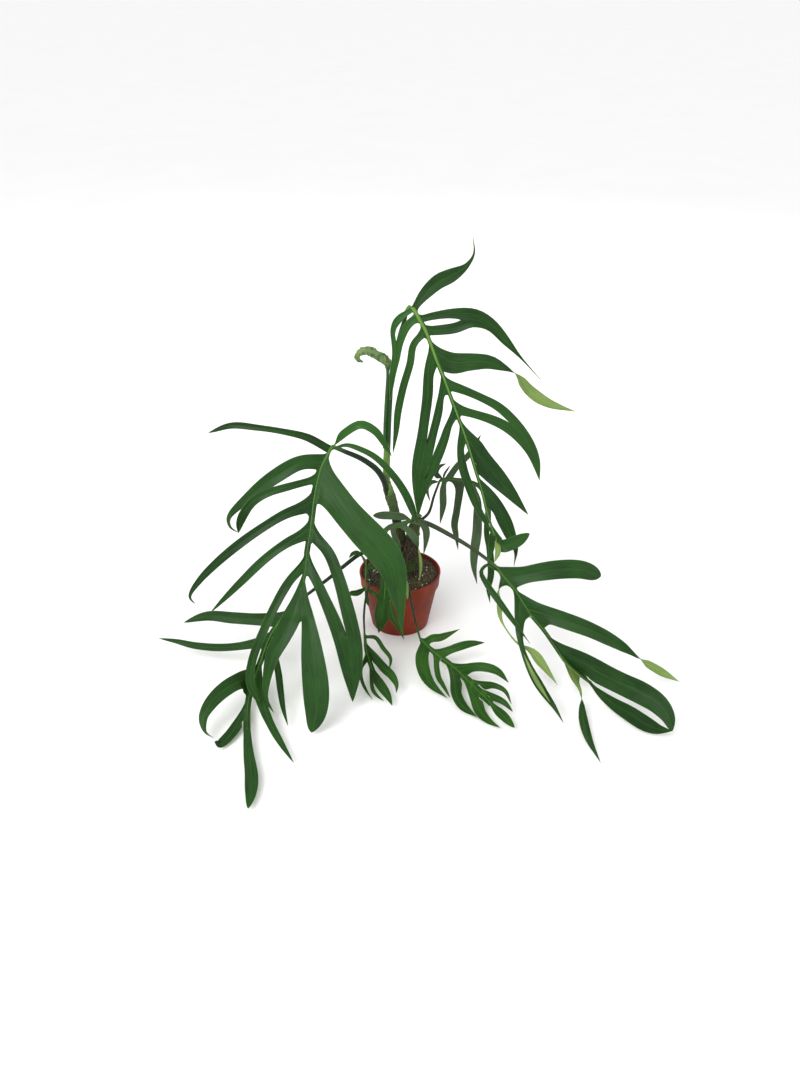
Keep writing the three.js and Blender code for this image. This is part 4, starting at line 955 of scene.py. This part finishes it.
def turned(chance, tilt):
    """A random turn about the vertical, tilted by up to an angle in degrees."""
    spin = Matrix.Rotation(chance.uniform(0, 2 * math.pi), 3, "Z")
    lean = Matrix.Rotation(math.radians(chance.uniform(-tilt, tilt)), 3, "X")
    return np.array(spin @ lean @ Matrix.Rotation(chance.uniform(0, 2 * math.pi), 3, "Z"))


def add_grain(shells, grain, place, size, tilt, slot, chance):
    """One rough grain, chip or crumb, with its corners moved a little."""
    points, faces = grain
    rough = points * (1 + chance.uniform(-GRAIN_ROUGHNESS, GRAIN_ROUGHNESS, (len(points), 1)))
    made = (rough * np.array(size)) @ turned(chance, tilt).T + place
    shells.add(made, faces, slot, False, chance.uniform(-1, 1))


def add_tuft(shells, foot, up, size, slot, chance):
    """A tuft of moss: a few small pointed leaves from one foot."""
    width = size * MOSS_LEAF_WIDTH
    for _ in range(LEAVES_IN_TUFT):
        lean = unit(up + chance.normal(0, 0.55, 3))
        side = unit(np.cross(lean, chance.normal(0, 1, 3)))
        other = np.cross(lean, side)
        length = size * chance.uniform(0.6, 1.2)
        start = foot - up * 0.2 + chance.normal(0, size * 0.3, 3)
        base = [start + side * width * a + other * width * b for a, b in THREE_WAYS]
        shells.add(np.array([*base, start + lean * length]), [(0, 2, 1), (0, 1, 3), (1, 2, 3), (2, 0, 3)],
                   slot, False, chance.uniform(-1, 1))


def soil_piece(materials):
    """The potting mix: a filled shape with a rough top, bark chips, perlite, crumbs and moss."""
    chance = np.random.default_rng(SOIL_SEED)
    shells = Shells()
    outer = [(inner_radius(h) - SOIL_GAP, h) for h in SOIL_STEPS]
    top = [(r, SOIL_LEVEL) for r in np.linspace(SOIL_RADIUS, 0, SOIL_RINGS)]
    add_lathe(shells, np.array([(0, SOIL_STEPS[0]), *outer, *top]), SOIL_SIDES, soil_top)
    grain = grain_shape()

    def scattered(count, limit):
        for _ in range(count):
            away = limit * math.sqrt(chance.uniform(0, 1))
            angle = chance.uniform(0, 2 * math.pi)
            x, y = away * math.cos(angle), away * math.sin(angle)
            yield np.array([x, y, SOIL_LEVEL + soil_height(x, y)])

    for place in scattered(CHIP_COUNT, SOIL_RADIUS - SCATTER_MARGIN):
        long = chance.uniform(*CHIP_LENGTHS)
        size = (long, long * chance.uniform(0.3, 0.7), chance.uniform(0.5, 1.3))
        add_grain(shells, grain, place, size, CHIP_TILT, 1, chance)
    for place in scattered(PERLITE_COUNT, SOIL_RADIUS - SCATTER_MARGIN):
        size = [chance.uniform(*PERLITE_RADII)] * 3
        add_grain(shells, grain, place + [0, 0, 0.6], size, PERLITE_TILT, 2, chance)
    for place in scattered(MOSS_COUNT, SOIL_RADIUS - SCATTER_MARGIN / 2):
        add_tuft(shells, place, np.array([0, 0, 1.0]), chance.uniform(*MOSS_LENGTHS), 3, chance)
    shells.piece("potting_mix", materials, "potting_mix", "soil")


def round_noise(angles, girth, height, read, offset=0):
    """Noise read at places round a tube."""
    return np.array([read(Vector((math.cos(a) * girth + offset, math.sin(a) * girth, height)))
                     for a in angles])


def add_bark(shells, curve, branch, _):
    """A trunk of old bark, with lengthwise cracks, lumps and the rings of old nodes."""
    seed, gap = branch["seed"], branch["ring_gap"]

    def relief(angles, along):
        lumps = round_noise(angles, 1.6, along * 0.07, lambda p: noise.fractal(p, 0.9, 2.0, 4), seed)
        cracks = round_noise(angles, 6, along * 0.05, noise.noise, seed)
        ring = math.exp(-(((along % gap) - gap / 2) / RING_WIDTH) ** 2)
        return branch["depth"] * (lumps * 0.8 + cracks * 0.6) + RING_HEIGHT * ring

    share = np.linspace(0, 1, TRUNK_STEPS)
    add_tube(shells, curve.at(share), curve.tangent(share), spread(branch["radii"], share), 0,
             TRUNK_SIDES, share - branch["bark"], relief)


def outside(curve, branch, share, turn):
    """The way out of a trunk at a turn round it, and its radius there."""
    tangent = curve.tangent(share)[0]
    across = unit(np.cross(tangent, SIDEWAYS))
    out = across * math.cos(turn) + np.cross(tangent, across) * math.sin(turn)
    return out, spread(branch["radii"], np.array([share]))[0]


def add_strands(shells, curve, branch, chance):
    """Old aerial roots that run down a trunk and into the mix."""
    for _ in range(branch["strands"]):
        high = chance.uniform(STRAND_LOWEST_TOP, branch["bark"])
        angle, drift = chance.uniform(0, 2 * np.pi), chance.normal(0, 1.1)
        points = []
        for share in np.linspace(high, STRAND_FOOT, STRAND_KNOTS):
            out, radius = outside(curve, branch, share, angle + drift * (high - share))
            points.append(curve.at(share)[0] + radius * chance.uniform(0.98, 1.1) * out)
        strand = Curve(points)
        steps = np.linspace(0, 1, STRAND_STEPS)
        thick = chance.uniform(*STRAND_RADII) * np.interp(steps, [0, 0.05, 0.9, 1], [0.5, 1, 0.9, 0.6])
        add_tube(shells, strand.at(steps), strand.tangent(steps), thick, 1, STRAND_SIDES, steps)


def add_trunk_moss(shells, curve, branch, chance):
    """Moss tufts over a trunk's bark."""
    for _ in range(branch["tufts"]):
        share = chance.uniform(STRAND_FOOT, branch["bark"])
        out, radius = outside(curve, branch, share, chance.uniform(0, 2 * np.pi))
        foot = curve.at(share)[0] + out * radius
        add_tuft(shells, foot, out, chance.uniform(*TRUNK_MOSS_LENGTHS), 2, chance)


def stem_piece(materials):
    """The old trunk and its fork, then their strands, then their moss."""
    chance = np.random.default_rng(STEM_SEED)
    shells = Shells()
    for add_layer in (add_bark, add_strands, add_trunk_moss):
        for branch in BRANCHES:
            add_layer(shells, sight_curve(branch["route"]), branch, chance)
    shells.piece("trunk", materials, "old_bark", "stem")


def new_leaf_piece(materials):
    """The pale new leaf: its stalk, and its blade still rolled up, with lumps where lobes lie."""
    shells = Shells()
    curve = sight_curve(NEW_LEAF["route"])
    share = np.linspace(0, 1, NEW_LEAF_STEPS)
    rolled = ease(share, *ROLLED_FROM)

    def lumps(angles, along):
        amount = 0.3 * np.interp(along, share * curve.length, rolled)
        return amount * round_noise(angles, 1.3, along / 4, lambda p: noise.fractal(p, 0.8, 2.0, 3))

    add_tube(shells, curve.at(share), curve.tangent(share), spread(NEW_LEAF["radii"], share), RIB,
             NEW_LEAF_SIDES, share, lumps)
    shells.piece("new_leaf_rolled", materials, "pale_leaf", "new_leaf")


class Finish:
    """A procedural material, written a node at a time."""

    def __init__(self, name):
        self.material = bpy.data.materials.new(name)
        self.material.use_nodes = True
        self.tree = self.material.node_tree
        self.shader = self.tree.nodes["Principled BSDF"]
        self.place = self.add("ShaderNodeTexCoord").outputs["Object"]
        blade = self.add("ShaderNodeAttribute", attribute_name="blade").outputs["Vector"]
        self.across, self.along, self.side = self.add("ShaderNodeSeparateXYZ", {"Vector": blade}).outputs
        self.tone = self.add("ShaderNodeAttribute", attribute_name="tone").outputs["Fac"]

    def add(self, kind, inputs=None, **settings):
        node = self.tree.nodes.new(kind)
        for name, value in settings.items():
            setattr(node, name, value)
        for name, value in (inputs or {}).items():
            self.put(node.inputs[name], value)
        return node

    def put(self, socket, value):
        if isinstance(value, bpy.types.NodeSocket):
            self.tree.links.new(value, socket)
        else:
            socket.default_value = value

    def math(self, operation, a, b=0):
        return self.add("ShaderNodeMath", {0: a, 1: b}, operation=operation).outputs[0]

    def plus(self, a, b):
        return self.math("ADD", a, b)

    def minus(self, a, b):
        return self.math("SUBTRACT", a, b)

    def times(self, a, b):
        return self.math("MULTIPLY", a, b)

    def between(self, value, low, high, start=0, end=1):
        """start where the value is low, end where it is high, and smooth between them."""
        return self.add("ShaderNodeMapRange", {"Value": value, "From Min": low, "From Max": high,
                                               "To Min": start, "To Max": end},
                        interpolation_type="SMOOTHSTEP").outputs["Result"]

    def noise(self, scale, detail, roughness=0.55, place=None):
        return self.add("ShaderNodeTexNoise", {"Vector": place or self.place, "Scale": scale,
                                               "Detail": detail, "Roughness": roughness}).outputs["Fac"]

    def vector(self, x, y, z):
        return self.add("ShaderNodeCombineXYZ", {0: x, 1: y, 2: z}).outputs[0]

    def mix(self, share, a, b):
        """Colour a where the share is 0, and colour b where it is 1."""
        return self.add("ShaderNodeMix", {"Factor": share, 6: colour(a), 7: colour(b)},
                        data_type="RGBA").outputs[2]

    def lit(self, shade, value):
        """A colour made darker or paler."""
        return self.add("ShaderNodeHueSaturation", {"Color": shade, "Value": value}).outputs["Color"]

    def ramp(self, share, stops):
        node = self.add("ShaderNodeValToRGB", {"Fac": share})
        points = node.color_ramp.elements
        while len(points) < len(stops):
            points.new(0.5)
        for point, (position, shade) in zip(points, stops):
            point.position = position
            point.color = colour(shade)
        return node.outputs["Color"]

    def bump(self, height, distance):
        node = self.add("ShaderNodeBump", {"Height": height, "Distance": distance, "Strength": 1.0})
        self.put(self.shader.inputs["Normal"], node.outputs["Normal"])

    def finish(self, base, roughness, specular):
        self.put(self.shader.inputs["Base Color"], base)
        self.put(self.shader.inputs["Roughness"], roughness)
        self.put(self.shader.inputs["Specular IOR Level"], specular)
        return self.material


def colour(value):
    """A plain colour with its alpha, or a socket as it is."""
    return (*value, 1.0) if isinstance(value, tuple) else value


def leaf_face(name, tones, roughness, specular):
    """A leaf surface: streaks along the lobe, partly painted gloss bands, painted sheen on the paler lobes,
    a pale middle vein, faint side veins and a paler edge.
    """
    made = Finish(name)
    dark, light, vein = tones
    away = made.math("ABSOLUTE", made.across)
    patches = made.noise(16, 4)
    # Streaks along the lobe: partly the leaf's own tone, partly painted gloss bands.
    streaks = made.noise(1, 2, place=made.vector(
        made.times(made.across, 0.55), made.times(made.along, 0.025), made.times(made.tone, 30)))
    level = made.plus(made.times(patches, 0.7), made.times(streaks, 0.7))
    # A lobe's tone moves its colour towards the light green, and above 1 brightens it further: a random
    # tone, plus painted sheen on the lobes given a light value.
    level = made.between(made.plus(level, made.times(made.tone, 0.12)), 0.4, 1)
    paler = made.between(made.tone, 1, 3.5, 1, PAINTED_SHEEN_GAIN)
    flesh = made.lit(made.mix(level, dark, light), paler)
    slanted = made.minus(made.along, made.times(away, 1.7))
    spaced = made.math("FRACT", made.math("DIVIDE", slanted, SIDE_VEIN_GAP))
    side_veins = made.between(made.math("ABSOLUTE", made.minus(spaced, 0.5)), 0, 0.12, 1, 0)
    edge = made.between(made.math("ABSOLUTE", made.side), 0.93, 1)
    middle = made.between(away, 0.25, 1.1, 1, 0)
    for line, amount in ((side_veins, 0.07), (edge, 0.25), (middle, 0.3)):
        flesh = made.mix(made.times(line, amount), flesh, vein)
    grain = made.noise(900, 2)
    height = made.plus(made.times(side_veins, -0.25), made.times(grain, 0.12))
    made.bump(made.minus(height, made.times(middle, 0.7)), FINE_RELIEF)
    return made.finish(flesh, made.between(patches, 0.2, 0.8, roughness - 0.06, roughness + 0.08), specular)


def stalk(name, stops):
    """Stalks and midribs: a colour that changes from the stalk's foot to the blade's tip, with fine
    ridges along it."""
    made = Finish(name)
    base = made.ramp(made.times(made.side, 0.5), stops)
    streaks = made.noise(1, 3, place=made.vector(
        made.times(made.across, 1.4), made.times(made.along, 0.03), 0))
    flecks = made.noise(260, 2)
    darker = made.lit(base, 0.62)
    base = made.mix(made.between(streaks, 0.35, 0.7), darker, base)
    base = made.mix(made.between(flecks, 0.6, 0.75, 0, 0.35), base, darker)
    made.bump(made.plus(streaks, made.times(flecks, 0.3)), FINE_RELIEF)
    return made.finish(base, made.between(flecks, 0.2, 0.8, 0.35, 0.52), 0.22)


def rolled_leaf():
    """The new leaf's soft pale surface, with green patches between its folds."""
    made = Finish("rolled_leaf")
    rolled = made.between(made.side, *ROLLED_FROM)
    patches = made.noise(150, 2)
    folded = made.times(made.between(patches, 0.5, 0.6, 0, 0.85), rolled)
    base = made.mix(folded, made.mix(rolled, STALK_MID, NEW_PALE), NEW_PATCH)
    mottle = made.noise(400, 3)
    base = made.mix(made.between(mottle, 0.45, 0.75, 0, 0.3), base, STALK_MID)
    made.bump(made.minus(mottle, folded), FINE_RELIEF)
    return made.finish(base, made.between(mottle, 0.2, 0.8, 0.42, 0.6), 0.3)


def pot_plastic():
    """Moulded plastic: even colour with scuffs, dust in patches and a fine moulding grain."""
    made = Finish("pot_plastic")
    patches = made.noise(22, 5)
    base = made.mix(made.between(patches, 0.3, 0.75), POT_DARK, POT_LIGHT)
    dust = made.noise(70, 6, 0.7)
    base = made.mix(made.between(dust, 0.55, 0.8, 0, 0.4), base, POT_DUST)
    stretched = made.add("ShaderNodeMapping", {"Vector": made.place, "Scale": (1, 1, 14)})
    scuffs = made.noise(60, 4, 0.65, stretched.outputs[0])
    base = made.mix(made.between(scuffs, 0.62, 0.72, 0, 0.25), base, POT_DUST)
    grain = made.noise(1100, 2)
    made.bump(made.plus(grain, made.times(scuffs, 0.6)), 0.00015)
    return made.finish(base, made.between(dust, 0.2, 0.8, 0.46, 0.66), 0.16)


def earthy(name, dark, light, green_share, scale, depth, skinned=False):
    """Soil, bark chips, bark and old roots: broken brown colour with green algae in patches. Where
    it is skinned, green skin with brown marks takes over along the piece."""
    made = Finish(name)
    fine = made.noise(scale, 8, 0.7)
    cells = made.add("ShaderNodeTexVoronoi", {"Vector": made.place, "Scale": scale * 1.7})
    cells = cells.outputs["Distance"]
    base = made.mix(made.between(fine, 0.35, 0.72), dark, light)
    base = made.mix(made.between(cells, 0, 0.25, 0.55, 0), base, dark)
    base = made.lit(base, made.between(made.tone, -1, 1, 0.6, 1.4))
    patches = made.noise(45, 4)
    cover = made.between(patches, 0.62 - green_share * 0.3, 0.8 - green_share * 0.3, 0, 0.8)
    base = made.mix(cover, base, MOSS_DARK)
    if skinned:
        marks = made.between(made.noise(90, 5, 0.65), 0.52, 0.62, 0, 0.7)
        skin = made.mix(marks, made.ramp(made.side, [(0.3, SKIN_OLIVE), (0.42, SHEATH_GREEN)]), light)
        base = made.mix(made.between(made.side, -0.05, 0.05), base, skin)
    made.bump(made.plus(fine, made.times(cells, 0.5)), depth)
    return made.finish(base, made.between(fine, 0.2, 0.8, 0.7, 0.95), 0.3)


def grains(name, dark, light, scale, roughness):
    """Moss or perlite: one tone for each grain, with a fine grain of its own."""
    made = Finish(name)
    fine = made.noise(scale, 4)
    level = made.plus(made.times(made.tone, 0.35), fine)
    made.bump(fine, 0.0003)
    return made.finish(made.mix(made.between(level, 0.1, 0.9), dark, light), roughness, 0.3)


def floor_finish():
    """A plain pale studio floor with the faintest mottle."""
    made = Finish("floor")
    mottle = made.noise(3, 4)
    made.bump(made.noise(400, 2), 0.00005)
    return made.finish(made.mix(mottle, FLOOR_DARK, FLOOR_LIGHT), 0.85, 0.2)


def aim(item, towards):
    item.rotation_euler = towards.to_track_quat("-Z", "Y").to_euler()


def studio():
    """A pale floor, a near-white surround and large soft lights in front, above and behind."""
    half = FLOOR_SIZE / 2
    mesh = bpy.data.meshes.new("floor")
    mesh.from_pydata([(-half, -half, 0), (half, -half, 0), (half, half, 0), (-half, half, 0)], [],
                     [(0, 1, 2, 3)])
    mesh.materials.append(floor_finish())
    floor = placed("floor", mesh)
    floor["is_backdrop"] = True
    world = bpy.data.worlds.new("studio")
    world.use_nodes = True
    surround = world.node_tree.nodes["Background"].inputs
    surround["Color"].default_value = (1, 1, 1, 1)
    surround["Strength"].default_value = SURROUND_STRENGTH
    bpy.context.scene.world = world
    sun = bpy.data.lights.new("sky", "SUN")
    sun.energy, sun.angle = SUN_STRENGTH, SUN_ANGLE
    aim(placed("sky", sun), -Vector(SUN_FROM))
    for name, place, size, power in SOFT_LIGHTS:
        data = bpy.data.lights.new(name, "AREA")
        data.shape, data.size, data.energy = "DISK", size, power
        light = placed(name, data)
        light.location = place
        aim(light, Vector(LIGHT_TARGET) - light.location)


# Colours, as linear light: dark, light and vein for a leaf
LEAF_TONES = ((0.0058, 0.028, 0.0036), (0.0165, 0.066, 0.0088), (0.05, 0.14, 0.022))
YOUNG_TONES = ((0.0060, 0.034, 0.0025), (0.022, 0.085, 0.007), (0.07, 0.19, 0.022))
DULL_TONES = ((0.018, 0.036, 0.013), (0.055, 0.100, 0.040), (0.08, 0.13, 0.045))
UNDER_TONES = ((0.10, 0.17, 0.035), (0.18, 0.27, 0.070), (0.30, 0.42, 0.14))
STALK_DARK = (0.012, 0.036, 0.012)
STALK_MID = (0.022, 0.085, 0.018)
STALK_LIGHT = (0.06, 0.16, 0.02)
STALK_GREEN = (0.075, 0.20, 0.03)
STALK_YELLOW = (0.14, 0.29, 0.05)
STALK_OLIVE = (0.030, 0.050, 0.014)
SHEATH_GREEN = (0.17, 0.30, 0.06)
SKIN_OLIVE = (0.055, 0.098, 0.030)
NEW_PALE = (0.14, 0.21, 0.068)
NEW_PATCH = (0.032, 0.095, 0.026)
POT_DARK = (0.145, 0.018, 0.006)
POT_LIGHT = (0.235, 0.030, 0.009)
POT_DUST = (0.25, 0.072, 0.034)
SOIL_DARK = (0.012, 0.008, 0.005)
SOIL_LIGHT = (0.085, 0.058, 0.034)
CHIP_DARK = (0.03, 0.018, 0.01)
CHIP_LIGHT = (0.13, 0.082, 0.045)
BARK_DARK = (0.010, 0.008, 0.006)
BARK_LIGHT = (0.075, 0.052, 0.034)
ROOT_LIGHT = (0.12, 0.09, 0.055)
MOSS_DARK = (0.03, 0.06, 0.008)
MOSS_LIGHT = (0.17, 0.22, 0.035)
PERLITE_DARK = (0.42, 0.40, 0.36)
PERLITE_LIGHT = (0.75, 0.73, 0.68)
FLOOR_DARK = (0.88, 0.88, 0.88)
FLOOR_LIGHT = (0.92, 0.92, 0.92)

# How much painted sheen brightens the palest lobe, the side veins' gap in millimetres, and a bump in metres
PAINTED_SHEEN_GAIN = 1.9
SIDE_VEIN_GAP = 6.5
FINE_RELIEF = 0.0006

# The studio, in metres and watts
FLOOR_SIZE = 120
SURROUND_STRENGTH = 0.65
SUN_STRENGTH = 1.7
SUN_ANGLE = math.radians(40)
SUN_FROM = (-0.5, -1.0, 1.3)
LIGHT_TARGET = (0, -0.1, 0.3)
SOFT_LIGHTS = (
    ("key", (-1.6, -2.0, 2.4), 1.4, 30),
    ("fill", (2.0, -1.6, 1.6), 1.6, 14),
    ("back", (0.6, 2.2, 2.2), 1.2, 18),
)

camera()
under = leaf_face("leaf_under", UNDER_TONES, 0.6, 0.25)
adult = [leaf_face("leaf_upper", LEAF_TONES, 0.42, 0.18), under]
young = [leaf_face("young_leaf_upper", YOUNG_TONES, 0.42, 0.18), under]
dull = [leaf_face("dull_leaf_upper", DULL_TONES, 0.6, 0.3), under]
dark_stalk = stalk("dark_stalk", [(0.42, STALK_DARK), (0.5, STALK_GREEN), (0.8, STALK_GREEN),
                                  (1, STALK_LIGHT)])
sheathed_stalk = stalk("sheathed_stalk", [(0.1, SHEATH_GREEN), (0.13, STALK_MID), (0.47, STALK_MID),
                                          (0.5, STALK_YELLOW), (0.6, STALK_YELLOW), (1, STALK_GREEN)])
olive_stalk = stalk("olive_stalk", [(0.42, STALK_OLIVE), (0.52, STALK_LIGHT)])
young_stalk = stalk("young_stalk", [(0.42, STALK_DARK), (0.52, STALK_LIGHT), (1, STALK_GREEN)])

# Each leaf's piece, layout, materials, slot and node, and the widths of its strips along the midrib
LEAVES = (
    ("left_leaf", LEFT_LEAF, [*adult, dark_stalk], "leaf", "leaf_left", (1.5, 6, 6, 5, 4.5, 3)),
    ("tall_leaf", TALL_LEAF, [*adult, sheathed_stalk], "leaf", "leaf_tall", (2.5, 3.4, 3.2, 3, 2.6, 2)),
    ("right_leaf", RIGHT_LEAF, [*adult, olive_stalk], "leaf", "leaf_right", (3, 3.6, 3.4, 3, 2.4)),
    ("low_leaf", LOW_LEAF, [*adult, dark_stalk], "leaf", "leaf_low", (3, 5, 5, 5.5, 6)),
    ("front_leaf", FRONT_LEAF, [*young, young_stalk], "young_leaf", "leaf_front", (3, 5, 5, 7, 5)),
    ("hanging_leaf", HANGING_LEAF, [*young, young_stalk], "young_leaf", "leaf_hanging", (2, 4, 4)),
    ("back_leaf", BACK_LEAF, [*dull, olive_stalk], "dull_leaf", "leaf_back", (3, 4, 4)),
    ("crown_leaf", CROWN_LEAF, [*dull, olive_stalk], "dull_leaf", "leaf_crown", (3, 5, 4)),
    ("rim_leaf", RIM_LEAF, [*young, young_stalk], "young_leaf", "leaf_rim", (8, 11)),
    ("side_shoot_leaves", SIDE_SHOOT, [*young, young_stalk], "young_leaf", "side_shoot", (0.6,)),
)
for seed, entry in enumerate(LEAVES):
    leaf_piece(*entry, seed)
new_leaf_piece([young[0], under, rolled_leaf()])

pot_piece(pot_plastic())
moss = grains("moss", MOSS_DARK, MOSS_LIGHT, 300, 0.8)
soil_piece([
    earthy("potting_mix", SOIL_DARK, SOIL_LIGHT, 0.5, 190, 0.0012),
    earthy("bark_chips", CHIP_DARK, CHIP_LIGHT, 0.2, 260, 0.0006),
    grains("perlite", PERLITE_DARK, PERLITE_LIGHT, 400, 0.85),
    moss,
])
stem_piece([
    earthy("old_bark", BARK_DARK, BARK_LIGHT, 0.6, 150, 0.0016, skinned=True),
    earthy("old_roots", BARK_LIGHT, ROOT_LIGHT, 0.3, 240, 0.0006),
    moss,
])
studio()

boxes = {"cad": cad_box, "visual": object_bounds()}
{name: [list(corner) for corner in box] for name, box in boxes.items()}
